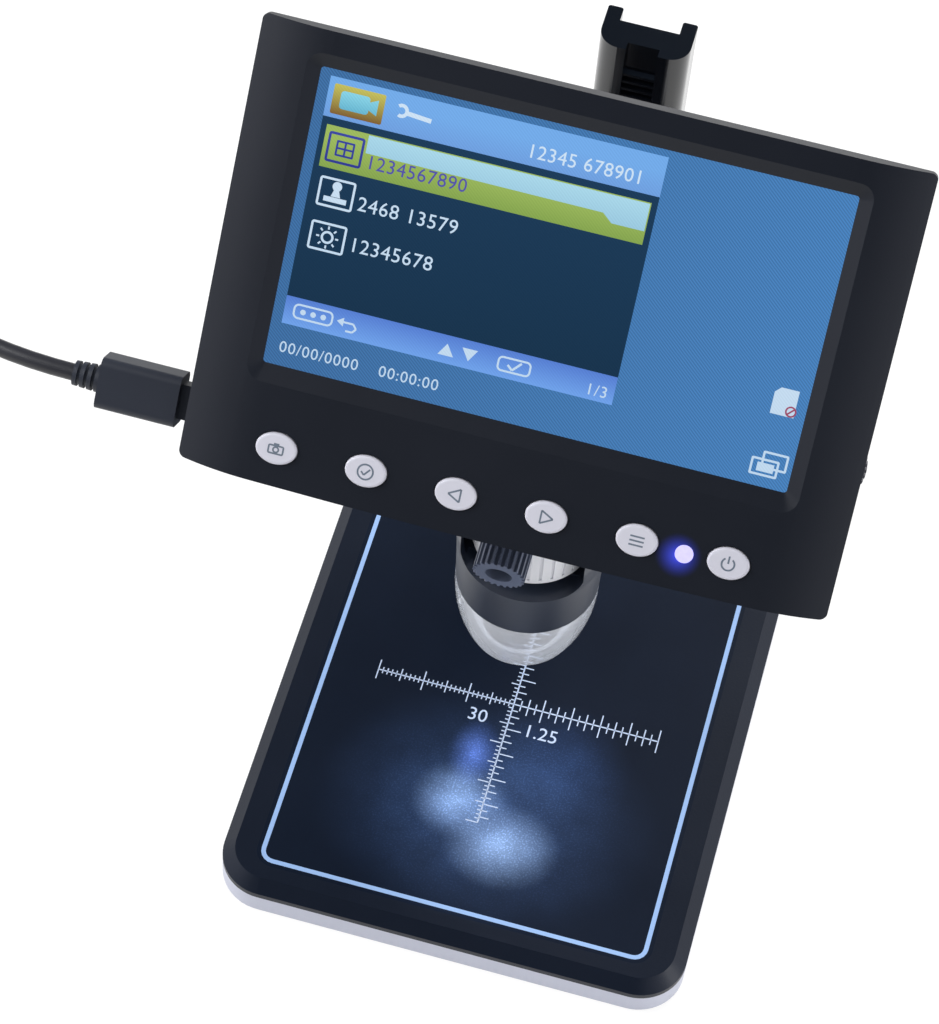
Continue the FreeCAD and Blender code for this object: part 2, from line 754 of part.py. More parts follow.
def make_carriage():
    depth = cover_y - carriage_front
    block = box("carriage_block", D.carriage_width, depth, D.carriage_height,
                (-D.carriage_width / 2, carriage_front, carriage_low))
    front = number(carriage_front)
    soft = rounded("carriage_soft", block, D.carriage_round,
                   lambda e: upright(e) and e.Vertexes[0].Point.y < front + 0.1)
    guide_depth = cover_y - column_front + D.slide_clearance
    guide_width = D.column_width + 2 * D.slide_clearance
    guide = box("column_guide", guide_width, guide_depth + 1, D.carriage_height + 2,
                (-D.column_width / 2 - D.slide_clearance, column_front - D.slide_clearance, carriage_low - 1))
    tip = pinion_pitch_radius + D.gear_addendum
    room = 0.4
    well_width = D.pinion_width + 2 * room
    well = cylinder("pinion_well", tip + room, well_width,
                    (-well_width / 2, pinion_y, D.carriage_middle), "X")
    mouth = box("pinion_mouth", well_width, column_front - pinion_y, 2 * (tip + room),
                (-well_width / 2, pinion_y, D.carriage_middle - tip - room))
    bore = cylinder("shaft_bore", D.pinion_shaft_radius + D.bore_clearance, D.carriage_width + 2,
                    (-D.carriage_width / 2 - 1, pinion_y, D.carriage_middle), "X")
    pilots = [cylinder(f"cover_pilot_{i}", D.screw_radius, 7.0, (x, cover_y - 7.0, z), "Y")
              for i, (x, z) in enumerate(cover_screw_points())]
    arm_pilots = [cylinder(f"arm_pilot_{i}", D.screw_radius, 5.0, (x, carriage_front, z), "Y")
                  for i, (x, z) in enumerate(arm_screw_points())]
    node("carriage_body", cut("carriage", soft, guide, well, mouth, bore, *pilots, *arm_pilots))

    plate = box("cover_plate", D.carriage_width, D.carriage_cover, D.carriage_height,
                (-D.carriage_width / 2, cover_y, carriage_low))
    back = number(cover_y + D.carriage_cover)
    soft_plate = rounded("cover_soft", plate, 2.0,
                         lambda e: upright(e) and e.Vertexes[0].Point.y > back - 0.1)
    holes = [cylinder(f"cover_hole_{i}", D.screw_radius, D.carriage_cover, (x, cover_y, z), "Y")
             for i, (x, z) in enumerate(cover_screw_points())]
    holes.append(cylinder("friction_hole", 2.0, D.carriage_cover, (0.0, cover_y, D.carriage_middle), "Y"))
    node("carriage_cover", cut("cover_drilled", soft_plate, *holes))
    face_back = Rotation(Vector(1, 0, 0), 90)
    screws = [screw(f"cover_screw_{i}", D.screw_radius, D.carriage_cover + 7.5, 2.4, 1.6,
                    (x, cover_y + D.carriage_cover + 1.6, z), face_back)
              for i, (x, z) in enumerate(cover_screw_points())]
    node("carriage_screws", group("carriage_screw_set", screws))
    notch_floor = column_front + D.column_depth - D.notch_depth
    pad_start = notch_floor + D.slide_clearance
    node("friction_pad", box("pad_block", D.notch_width - 2 * D.slide_clearance, cover_y - pad_start, 14.0,
                             (-D.notch_width / 2 + D.slide_clearance, pad_start, D.carriage_middle - 7.0)))
    node("friction_screw", cylinder("friction_stud", 2.0, D.carriage_cover + 1.2,
                                    (0.0, cover_y, D.carriage_middle), "Y"))

    gear = Part.Face(Part.makePolygon(closed(involute_outline(
        int(number(D.pinion_teeth)), number(D.rack_pitch), number(D.gear_addendum),
        number(D.gear_dedendum), number(D.mesh_clearance)))))
    width = number(D.pinion_width)
    blank = gear.extrude(Vector(0, 0, width))
    blank = blank.cut(Part.makeCylinder(number(D.pinion_shaft_radius), width))
    to_rack = Rotation(Vector(0, 1, 0), 90).multiply(Rotation(Vector(0, 0, 1), 90))
    node("pinion_gear", shaped("pinion", blank), (-D.pinion_width / 2, pinion_y, D.carriage_middle), to_rack)
    knob_start = D.carriage_width / 2 + D.knob_gap
    reach = knob_start + D.knob_length - 1.5
    node("pinion_shaft", cylinder("shaft", D.pinion_shaft_radius, 2 * reach,
                                  (-reach, pinion_y, D.carriage_middle), "X"))
    for side, word in ((-1, "left"), (1, "right")):
        grip = polygon(ribbed_outline(number(D.knob_radius), 0.5, 36, 0.6), number(D.knob_length) - 2.5, 1.5)
        rim = Part.makeCone(number(D.knob_radius) - 1.6, number(D.knob_radius) - 0.5, 1.5)
        cap = Part.makeCone(number(D.knob_radius) - 0.5, number(D.knob_radius) - 1.6, 1.0,
                            Vector(0, 0, number(D.knob_length) - 1.0))
        blank = grip.fuse([rim, cap]).removeSplitter()
        hole = Part.makeCylinder(number(D.pinion_shaft_radius), number(D.knob_length) - 1.5)
        turn = Rotation(Vector(0, 1, 0), 90 * side)
        node(f"height_knob_{word}", shaped(f"knob_{word}", blank.cut(hole)),
             (side * knob_start, pinion_y, D.carriage_middle), turn)


def closed(points):
    """An outline's points as vectors, with the first repeated at the end."""
    corners = [Vector(x, y, 0) for x, y in points]
    return corners + corners[:1]


def cover_screw_points():
    """Where the carriage's cover is screwed on."""
    x = D.carriage_width / 2 - 2.9
    z = D.carriage_height / 2 - 4.0
    return [(side * x, D.carriage_middle + end * z) for side in (-1, 1) for end in (-1, 1)]


def arm_screw_points():
    """Where the holder arm is screwed to the carriage."""
    x = D.arm_plate_width / 2 - 2.6
    z = D.arm_plate_height / 2 - 3.2
    return [(side * x, D.carriage_middle + end * z) for side in (-1, 1) for end in (-1, 1)]


def make_arm():
    collar_outer = D.barrel_radius + D.collar_wall
    arm_low = D.arm_middle - D.arm_height / 2
    plate = box("arm_plate", D.arm_plate_width, D.arm_plate_depth, D.arm_plate_height,
                (-D.arm_plate_width / 2, carriage_front - D.arm_plate_depth,
                 D.carriage_middle - D.arm_plate_height / 2))
    soft_plate = rounded("arm_plate_soft", plate, 2.5, lambda e: along_y(e))
    beam = box("arm_beam", D.arm_width, carriage_front - barrel_y, D.arm_height,
               (-D.arm_width / 2, barrel_y, arm_low))
    collar = cylinder("collar", collar_outer, D.arm_height, (0.0, barrel_y, arm_low))
    pocket_width = (D.arm_width - D.arm_web) / 2
    beam_start = barrel_y + collar_outer + 2.0
    beam_run = carriage_front - D.arm_plate_depth - 3.0 - beam_start
    pockets = [box(f"arm_pocket_{word}", pocket_width, beam_run, D.arm_height - 2 * D.arm_web,
                   (x, beam_start, arm_low + D.arm_web))
               for word, x in (("left", -D.arm_width / 2), ("right", D.arm_web / 2))]
    ears = box("collar_ears", D.ear_reach + D.collar_wall / 2, 2 * D.ear_depth + D.collar_slit, D.arm_height,
               (D.barrel_radius + D.collar_wall / 2, barrel_y - D.ear_depth - D.collar_slit / 2, arm_low))
    slit = box("collar_gap", D.collar_wall + D.ear_reach + 2.0, D.collar_slit, D.arm_height,
               (D.barrel_radius - 1.0, barrel_y - D.collar_slit / 2, arm_low))
    hole = cylinder("collar_bore", D.barrel_radius, D.arm_height, (0.0, barrel_y, arm_low))
    ear_x = collar_outer + D.ear_reach / 2
    ear_span = 2 * D.ear_depth + D.collar_slit
    clamp_hole = cylinder("clamp_hole", D.screw_radius, ear_span,
                          (ear_x, barrel_y - ear_span / 2, D.arm_middle), "Y")
    holes = [cylinder(f"arm_hole_{i}", D.screw_radius, D.arm_plate_depth,
                      (x, carriage_front - D.arm_plate_depth, z), "Y")
             for i, (x, z) in enumerate(arm_screw_points())]
    node("holder_arm", cut("arm", fuse("arm_blank", soft_plate, beam, collar, ears),
                           *pockets, slit, hole, clamp_hole, *holes))
    inwards = Rotation(Vector(1, 0, 0), -90)
    screws = [screw(f"arm_screw_{i}", D.screw_radius, D.arm_plate_depth + 1.4 + 4.5, 2.3, 1.4,
                    (x, carriage_front - D.arm_plate_depth - 1.4, z), inwards)
              for i, (x, z) in enumerate(arm_screw_points())]
    node("arm_screws", group("arm_screw_set", screws))
    node("clamp_screw", screw("clamp", D.screw_radius, ear_span + 2.2 + 2.0, 2.4, 2.2,
                              (ear_x, barrel_y - ear_span / 2 - 2.2, D.arm_middle), inwards))


def along_y(edge):
    """Whether an edge is a straight one along Y."""
    if not isinstance(edge.Curve, Part.Line):
        return False
    return abs(abs(edge.Curve.Direction.y) - 1) < 1e-6


# Lens barrel, light cap, focus ring and roller

LEAN = Rotation(Vector(1, 0, 0), SIZES["display_lean"])
display_at = (0.0, display_y, D.display_z)


def leaning(shape):
    """A shape from the display's own frame, moved into the object's frame."""
    moved = shape.copy()
    moved.Placement = Placement(Vector(0, number(display_y), number(D.display_z)), LEAN)
    return moved


def revolved(points):
    """A solid turned about the barrel's own upright axis from (radius, z) points or arcs."""
    edges = []
    for start, end in zip(points, points[1:] + points[:1]):
        edges.append(Part.LineSegment(Vector(start[0], 0, start[1]), Vector(end[0], 0, end[1])).toShape())
    return Part.Face(Part.Wire(edges)).revolve(Vector(0, 0, 0), Vector(0, 0, 1), 360)


def make_barrel():
    wall = number(D.barrel_wall)
    outer = number(D.barrel_radius)
    waist_z = number(D.barrel_waist_z)
    sill_z = number(D.window_sill_z)
    full_z = number(D.barrel_full_z)
    waist = number(D.barrel_waist)
    sill = number(D.barrel_sill_radius)
    deck_top = sill_z + 0.7
    deck_low = deck_top - number(D.deck_thickness)
    seat_top = number(D.ring_bottom_z) - 0.1
    high = number(D.display_z)
    deck_bore = number(D.deck_bore)
    seat_outer = number(D.ring_radius) - 0.6
    seat_inner = number(D.ring_bore) + 0.3
    shell = revolved([
        (waist - wall, waist_z), (waist, waist_z), (sill, sill_z), (outer, full_z), (outer, high),
        (outer - wall, high), (outer - wall, full_z), (sill - wall + 0.3, deck_top),
        (seat_outer, deck_top), (seat_outer, seat_top), (seat_inner, seat_top), (seat_inner, deck_top),
        (deck_bore, deck_top), (deck_bore, deck_low), (waist - wall, deck_low),
    ])
    parts = []
    ledge_z = number(D.sensor_z)
    ledge = Part.makeCylinder(outer - wall + 0.2, 2.0, Vector(0, 0, ledge_z - 2.0))
    parts.append(ledge.cut(Part.makeCylinder(11.0, 2.0, Vector(0, 0, ledge_z - 2.0))))
    guide_low = number(D.carrier_flange_z) - 1.4
    guide_high = number(D.carrier_flange_z + D.carrier_flange_height) + 6.0
    reach = number(D.guide_reach)
    guide_width = number(D.guide_width)
    for side in (-1, 1):
        rib = Part.makeBox(outer - wall - reach + 0.3, guide_width, guide_high - guide_low)
        x = reach if side > 0 else -outer + wall - 0.3
        rib.translate(Vector(x, -guide_width / 2, guide_low))
        parts.append(rib)
    board_top = waist_z + number(D.cap_spigot) + number(D.light_board_thickness)
    for turn in (0, 120, 240):
        post = Part.makeCylinder(1.4, deck_low - board_top + 0.3, Vector(10.8, 0, board_top))
        post.rotate(Vector(0, 0, 0), Vector(0, 0, 1), turn + 30)
        parts.append(post)
    shell = shell.fuse(parts).removeSplitter()
    half = number(D.window_half_width)
    window = Part.makeBox(2 * half, 2 * outer, number(D.window_top_z) - sill_z,
                          Vector(-half, -2 * outer - 6.0, sill_z))
    window = window.makeFillet(number(D.window_corner), [e for e in window.Edges if along_y(e)])
    shell = shell.cut(window)
    shell.translate(Vector(0, number(barrel_y), 0))

    back = number(D.housing_back)
    above = leaning(Part.makeBox(200, 200, 200, Vector(-100, -100, -back)))
    flange_slab = leaning(Part.makeBox(200, 200, 2.5, Vector(-100, -100, -back - 2.5)))
    flange = Part.makeCylinder(outer - 0.2, 200, Vector(0, number(barrel_y), 20)).common(flange_slab)
    flange = flange.cut(Part.makeCylinder(8.0, 200, Vector(0, number(barrel_y), 20)))
    shell = shell.cut(above).fuse(flange).removeSplitter()
    for x, v in barrel_screw_points():
        hole = leaning(Part.makeCylinder(number(D.screw_radius), 4.0, Vector(x, v, -back - 3.0)))
        shell = shell.cut(hole)
    node("barrel_housing", shaped("barrel", shell))
    screws = []
    for i, (x, v) in enumerate(barrel_screw_points()):
        head_at = -back + number(D.housing_wall)
        shank = Part.makeCylinder(number(D.screw_radius), 4.3, Vector(x, v, head_at - 4.3))
        head = Part.makeCylinder(2.3, 1.4, Vector(x, v, head_at))
        screws.append(shaped(f"barrel_screw_{i}", leaning(shank.fuse(head))))
    node("barrel_screws", group("barrel_screw_set", screws))

    bottom = number(D.cap_bottom_z)
    rim = number(D.cap_bottom_radius)
    bulge = number(D.cap_bulge)
    thick = number(D.cap_wall)
    mouth = number(D.cap_mouth)
    lip_radius = mouth + number(D.cap_lip_width)
    lip_top = bottom + number(D.cap_lip_height)
    spigot = waist_z + number(D.cap_spigot)
    joint = waist - wall - 0.05

    def arc(start, end, swell):
        """A slightly swollen arc between two profile points."""
        middle = ((start[0] + end[0]) / 2 + swell, (start[1] + end[1]) / 2 - swell * 0.3)
        return Part.Arc(*[Vector(x, 0, z) for x, z in (start, middle, end)]).toShape()

    def line(*points):
        """Straight edges through profile points."""
        corners = [Vector(x, 0, z) for x, z in points]
        return [Part.LineSegment(a, b).toShape() for a, b in zip(corners, corners[1:])]

    outer_arc = arc((rim, bottom), (waist, waist_z), bulge)
    inner_arc = arc((joint - thick, waist_z), (lip_radius, lip_top), bulge)
    profile = [outer_arc] + line((waist, waist_z), (joint, waist_z), (joint, spigot),
                                 (joint - thick, spigot), (joint - thick, waist_z))
    profile += [inner_arc] + line((lip_radius, lip_top), (mouth, lip_top), (mouth, bottom), (rim, bottom))
    cap = Part.Face(Part.Wire(Part.__sortEdges__(profile))).revolve(Vector(0, 0, 0), Vector(0, 0, 1), 360)
    nub = Part.makeSphere(0.8, Vector(0, -waist + 0.1, waist_z - 1.9))
    nub.rotate(Vector(0, 0, 0), Vector(0, 0, 1), -50)
    cap = cap.fuse(nub.cut(Part.makeCylinder(waist - thick, 30, Vector(0, 0, waist_z - 20))))
    cap.translate(Vector(0, number(barrel_y), 0))
    node("clear_cap", shaped("cap", cap))

    board_z = D.barrel_waist_z + D.cap_spigot
    node("light_board", tube("light_ring", D.light_board_radius, D.light_board_bore, D.light_board_thickness,
                             (0.0, barrel_y, board_z)))
    chips = []
    count = 8
    size = number(D.chip_size)
    for i in range(count):
        chip = Part.makeBox(size, size, number(D.chip_height),
                            Vector(number(D.chip_circle) - size / 2, -size / 2, number(board_z - D.chip_height)))
        chip.rotate(Vector(0, 0, 0), Vector(0, 0, 1), (i + 0.5) * 360 / count)
        chip.translate(Vector(0, number(barrel_y), 0))
        chips.append(shaped(f"light_chip_{i}", chip))
    node("light_chips", group("light_chip_set", chips))


def barrel_screw_points():
    """Where the barrel is screwed to the display's back, in the display's frame."""
    lean = math.radians(number(D.display_lean))
    rise = (number(barrel_y) - number(display_y)) / math.cos(lean)
    drop = rise - number(D.housing_back) * math.tan(lean)
    return [(-11.6, drop), (11.6, drop)]


def roller_turn():
    """The roller's own +Z along its axis, towards the back."""
    return Rotation(Vector(1, 0, 0), -90 + SIZES["roller_tilt"])


def make_focus():
    ring_radius = number(D.ring_radius)
    depth = number(D.ring_rib_depth)
    height = number(D.ring_height)
    rim = number(D.ring_rim)
    ribs = polygon(ribbed_outline(ring_radius, depth, int(number(D.ring_ribs)), 0.74), height - rim, rim)
    ring = ribs.fuse(Part.makeCylinder(ring_radius, rim)).removeSplitter()
    ring = ring.cut(Part.makeCylinder(number(D.ring_bore), height))
    node("focus_ring", shaped("ring", ring), (0.0, barrel_y, D.ring_bottom_z))

    length = number(D.roller_length)
    roller = polygon(toothed_outline(number(D.roller_radius), number(D.roller_tooth_depth),
                                     int(number(D.roller_teeth))), length, -length)
    recess = Part.makeCylinder(number(D.roller_recess_radius), number(D.roller_recess_depth),
                               Vector(0, 0, -number(D.roller_recess_depth)))
    bore = Part.makeCylinder(number(D.roller_bore), length, Vector(0, 0, -length))
    hub_at = (D.roller_x, roller_hub_y, D.roller_hub_z)
    node("focus_roller", shaped("roller", roller.cut(recess).cut(bore)), hub_at, roller_turn())

    gap = 0.2
    recess_floor = number(D.roller_recess_depth) - gap
    axle_radius = number(D.roller_bore - D.bore_clearance)
    hub = Part.makeCylinder(number(D.roller_recess_radius) - 0.45, recess_floor, Vector(0, 0, -recess_floor))
    axle_end = length - number(D.roller_hole_depth)
    axle = Part.makeCylinder(axle_radius, axle_end - recess_floor, Vector(0, 0, -axle_end))
    rise = 5.6
    slim = 0.12
    tongue = Part.makeBox(6.0, rise - 1.2, 0.8, Vector(-3.0, -rise, slim))
    root = Part.makeBox(3.0, 2.2, 0.7, Vector(-1.5, -3.4, -0.5))
    moved = hub.fuse([axle, root, tongue])
    moved.Placement = Placement(Vector(*[number(part) for part in hub_at]), roller_turn())
    stem_low = number(D.ring_bottom_z + D.ring_height) + 0.4
    stem_high = number(D.window_top_z) + 8.0
    behind = Part.makeBox(20.0, 20.0, 20.0, Vector(-10.0, -14.0, slim))
    behind.Placement = Placement(Vector(*[number(part) for part in hub_at]), roller_turn())
    stem = Part.makeBox(6.0, 3.2, stem_high - stem_low,
                        Vector(number(D.roller_x) - 3.0, -34.0, stem_low)).common(behind)
    inside = Part.makeCylinder(number(D.barrel_radius - D.barrel_wall), 60.0,
                               Vector(0, number(barrel_y), 70.0))
    stem = stem.common(inside)
    node("roller_bracket", shaped("bracket", moved.fuse(stem).removeSplitter()))

    bottom = number(D.carrier_bottom_z)
    flange_z = number(D.carrier_flange_z)
    flange_top = flange_z + number(D.carrier_flange_height)
    carrier = revolved([
        (number(D.carrier_bore), bottom), (number(D.carrier_radius), bottom),
        (number(D.carrier_radius), flange_z), (number(D.carrier_flange_radius), flange_z),
        (number(D.carrier_flange_radius), flange_top), (number(D.carrier_bore), flange_top),
    ])
    play = number(D.bore_clearance)
    guide = number(D.guide_width) + 2 * play
    reach = number(D.guide_reach) - play
    for side in (-1, 1):
        notch = Part.makeBox(3.0, guide, number(D.carrier_flange_height))
        notch.translate(Vector(reach if side > 0 else -reach - 3.0, -guide / 2, flange_z))
        carrier = carrier.cut(notch)
    carrier.translate(Vector(0, number(barrel_y), 0))
    node("lens_carrier", shaped("carrier", carrier))
    lenses = []
    for i, z in enumerate((bottom + 1.0, flange_z - 3.0)):
        disc = Part.makeCylinder(number(D.lens_radius), number(D.lens_thickness),
                                 Vector(0, number(barrel_y), z))
        lenses.append(shaped(f"lens_{i}", disc))
    node("lenses", group("lens_set", lenses))

    inner = D.barrel_radius - D.barrel_wall
    node("sensor_board", cylinder("sensor_disc", inner - 0.3, 1.2, (0.0, barrel_y, D.sensor_z)))
    node("image_sensor", middle_box("sensor_chip", 8.0, 8.0, 1.4, (0.0, barrel_y, D.sensor_z - 1.4)))
    top = board_back_height()
    node("sensor_cable", middle_box("cable_strip", 8.0, 0.4, top - D.sensor_z - 1.2 - 0.3,
                                    (0.0, barrel_y, D.sensor_z + 1.2)))


def board_back_height():
    """How high an upright line through the barrel's axis meets the back of the main board."""
    lean = math.radians(number(D.display_lean))
    rise = (number(barrel_y) - number(display_y)) * math.tan(lean)
    drop = (number(D.board_depth) + number(D.board_thickness)) / math.cos(lean)
    return D.display_z + rise - drop


# Display housing, all in its own leaning frame: X right, Y up the screen, Z out of it

half = number(D.face_half_width)
face_front = number(D.face_proud)
bezel_back = -number(D.bezel_back)


def face_outline(inset, z):
    """The housing's outline: square top, bowed bottom and small round corners."""
    x = half - inset
    top = number(D.face_top) - inset
    low = -number(D.face_corner_drop) + inset
    middle = -number(D.face_middle_drop) + inset
    wire = Part.Wire([
        Part.Arc(Vector(-x, low, z), Vector(0, middle, z), Vector(x, low, z)).toShape(),
        Part.LineSegment(Vector(x, low, z), Vector(x, top, z)).toShape(),
        Part.LineSegment(Vector(x, top, z), Vector(-x, top, z)).toShape(),
        Part.LineSegment(Vector(-x, top, z), Vector(-x, low, z)).toShape(),
    ])
    return Part.Face(wire)


def pillow(z_low, z_high, fall, width):
    """A bar as wide as the face whose left and right ends fall away in an arc."""
    flat = width - number(D.face_round)
    radius = (number(D.face_round) ** 2 + fall ** 2) / (2 * fall)
    side = z_high - fall
    share = number(D.face_round) / 2
    middle = z_high - radius + math.sqrt(radius ** 2 - share ** 2)
    low_y = -number(D.face_middle_drop) - 1
    tall = number(D.face_top) - low_y + 1
    at = [(-width, z_low), (width, z_low), (width, side), (flat, z_high), (-flat, z_high), (-width, side)]
    p = [Vector(x, low_y, z) for x, z in at]
    wire = Part.Wire([
        Part.LineSegment(p[0], p[1]).toShape(),
        Part.LineSegment(p[1], p[2]).toShape(),
        Part.Arc(p[2], Vector(flat + share, low_y, middle), p[3]).toShape(),
        Part.LineSegment(p[3], p[4]).toShape(),
        Part.Arc(p[4], Vector(-flat - share, low_y, middle), p[5]).toShape(),
        Part.LineSegment(p[5], p[0]).toShape(),
    ])
    return Part.Face(wire).extrude(Vector(0, tall, 0))


BUTTONS = ("snapshot", "confirm", "left", "right", "menu", "power")


def button_x(i):
    """A button's place along the row."""
    return number(D.button_first) + i * number(D.button_pitch)


def make_bezel():
    corner = number(D.face_corner)
    height = face_front - bezel_back
    block = face_outline(0, bezel_back).extrude(Vector(0, 0, height))
    block = block.makeFillet(corner, [e for e in block.Edges if upright(e)])
    body = block.common(pillow(bezel_back - 1, face_front, number(D.face_fall), half))
    wide = number(D.screen_width) / 2
    tall = number(D.screen_height) / 2
    side = number(D.recess_side)
    slope = Part.makeLoft([
        soft_rectangle(-wide, wide, -tall, tall, 0.6, 0.0),
        soft_rectangle(-wide - side, wide + side, -tall - number(D.recess_bottom),
                       tall + number(D.recess_top), 3.0, face_front),
    ], True, True)
    body = body.cut(slope)
    panel_play = 0.4
    panel_half = number(D.panel_width) / 2 + panel_play
    panel_low = -number(D.panel_bottom) - panel_play
    rim = 2.2
    inner = half - rim
    top = number(D.face_top) - rim
    body = body.cut(Part.makeBox(2 * panel_half, top - panel_low, -bezel_back,
                                 Vector(-panel_half, panel_low, bezel_back)))
    low = -number(D.face_corner_drop) + rim
    side_floor = 0.8
    body = body.cut(Part.makeBox(2 * inner, top - low, side_floor, Vector(-inner, low, bezel_back)))
    button_floor = -0.6
    room_half = 49.0
    panel_rail = 0.8
    body = body.cut(Part.makeBox(2 * room_half, panel_low - panel_rail - low, button_floor - bezel_back,
                                 Vector(-room_half, low, bezel_back)))
    play = number(D.button_gap)
    length = number(D.button_length) + 2 * play
    tall_hole = number(D.button_height) + 2 * play
    drop = -number(D.button_drop)
    for i in range(len(BUTTONS)):
        hole = oval_face(length, tall_hole, button_x(i), drop, bezel_back).extrude(Vector(0, 0, 6))
        body = body.cut(hole)
    light_v = drop - number(D.light_below)
    light_hole = Part.makeCylinder(number(D.light_radius), 6, Vector(number(D.light_x), light_v, bezel_back))
    body = body.cut(light_hole)
    boss_radius = 2.2
    boss_height = 3.0
    pilot_depth = 2.6
    for x, v in case_screw_points():
        at = Vector(x, v, bezel_back)
        pilot = Part.makeCylinder(number(D.screw_radius), pilot_depth, at)
        body = body.fuse(Part.makeCylinder(boss_radius, boss_height, at)).cut(pilot)
    node("front_bezel", shaped("bezel", body.removeSplitter()), display_at, LEAN)


def case_screw_points():
    """Where the housing's two halves are screwed together, in the display's frame."""
    between_keys = number(D.button_first) + number(D.button_pitch) / 2
    right_of_light = 51.6
    row = -42.0
    return [(between_keys, row), (right_of_light, row)]


def cover_sections(inset):
    """The rear cover's outline at the seam, below its bevel and at its back."""
    seam = bezel_back
    bevel = seam - number(D.bevel_depth)
    back = -number(D.housing_back)
    low = -number(D.face_corner_drop)
    top = number(D.face_top)
    drop = number(D.bevel_depth)
    return [
        soft_rectangle(-half + inset, half - inset, low + inset, top - inset, 2.4, seam),
        soft_rectangle(-half + drop + inset, half - drop - inset, low + drop + inset,
                       top - drop - inset, 3.0, bevel),
        soft_rectangle(-half + drop + 1 + inset, half - drop - 1 - inset, low + drop + 1.5 + inset,
                       top - drop - 5.4 - inset, 4.0, back + (inset if inset else 0)),
    ]


def make_rear_cover():
    wall = number(D.housing_wall)
    outer = Part.makeLoft(cover_sections(0.0), True, True)
    inner = Part.makeLoft(cover_sections(wall), True, True)
    body = outer.cut(inner)
    back = -number(D.housing_back)
    post_neck = 2.4
    shoulder = -6.2
    sunk = 0.2
    head_hole_radius = 2.4
    head_hole_depth = 6.2
    for x, v in case_screw_points():
        post = Part.makeCylinder(post_neck + 1.2, shoulder - back - sunk, Vector(x, v, back + sunk))
        neck = Part.makeCylinder(post_neck, bezel_back - back - sunk, Vector(x, v, back + sunk))
        body = body.fuse(post.fuse(neck).common(outer))
    for x, v in case_screw_points():
        body = body.cut(Part.makeCylinder(number(D.screw_radius), 20, Vector(x, v, back + 6)))
        body = body.cut(Part.makeCylinder(head_hole_radius, head_hole_depth, Vector(x, v, back - sunk)))
    stand_top = -number(D.board_depth) - number(D.board_thickness)
    stand_foot = back + 1.0
    stand_radius = 2.0
    for x in (-40.0, 40.0):
        for v in (-30.0, 22.0):
            stand = Part.makeCylinder(stand_radius, stand_top - stand_foot, Vector(x, v, stand_foot))
            body = body.fuse(stand)
    body = body.cut(wheel_room())
    port_v = -number(D.port_drop)
    port_w = -number(D.port_depth)
    shell_v = number(D.plug_shell_width)
    shell_w = number(D.plug_shell_height)
    room = number(D.socket_skin) + 0.1
    body = body.cut(Part.makeBox(15.0, shell_v + 2 * room, shell_w + 2 * room,
                                 Vector(-half, port_v - shell_v / 2 - room, port_w - shell_w / 2 - room)))
    card_v, card_w = card_place()
    body = body.cut(Part.makeBox(8.0, 12.4, 1.8, Vector(-half, card_v - 6.2, card_w - 0.9)))
    upright_hole = Part.makeCylinder(7.5, 120, Vector(0, number(barrel_y), 110))
    frame = Placement(Vector(0, number(display_y), number(D.display_z)), LEAN)
    upright_hole.Placement = frame.inverse().multiply(upright_hole.Placement)
    body = body.cut(upright_hole)
    for x, v in barrel_screw_points():
        body = body.cut(Part.makeCylinder(number(D.screw_radius), 6, Vector(x, v, back - 2)))
    node("rear_cover", shaped("rear_shell", body.removeSplitter()), display_at, LEAN)
    screws = []
    for i, (x, v) in enumerate(case_screw_points()):
        head = Part.makeCylinder(2.2, 1.5, Vector(x, v, back + 4.5))
        shank_start = back + 6.0
        shank = Part.makeCylinder(number(D.screw_radius), bezel_back + 2.4 - shank_start,
                                  Vector(x, v, shank_start))
        screws.append(shaped(f"case_screw_{i}", leaning(head.fuse(shank))))
    node("case_screws", group("case_screw_set", screws))


def wheel_place():
    """The brightness wheel's axis in the display's frame."""
    x = half + number(D.wheel_proud) - number(D.wheel_radius)
    return x, -number(D.wheel_drop), -number(D.wheel_depth)


def wheel_room():
    """The room cut for the brightness wheel at the seam."""
    x, v, w = wheel_place()
    return Part.makeCylinder(number(D.wheel_radius) + 0.25, number(D.wheel_thickness) + 0.4 + 1.0,
                             Vector(x, v, w - number(D.wheel_thickness) / 2 - 0.2))


def card_place():
    """The card slot's place on the left side, in the display's frame."""
    return -12.0, -number(D.board_depth) - number(D.board_thickness) - 1.4


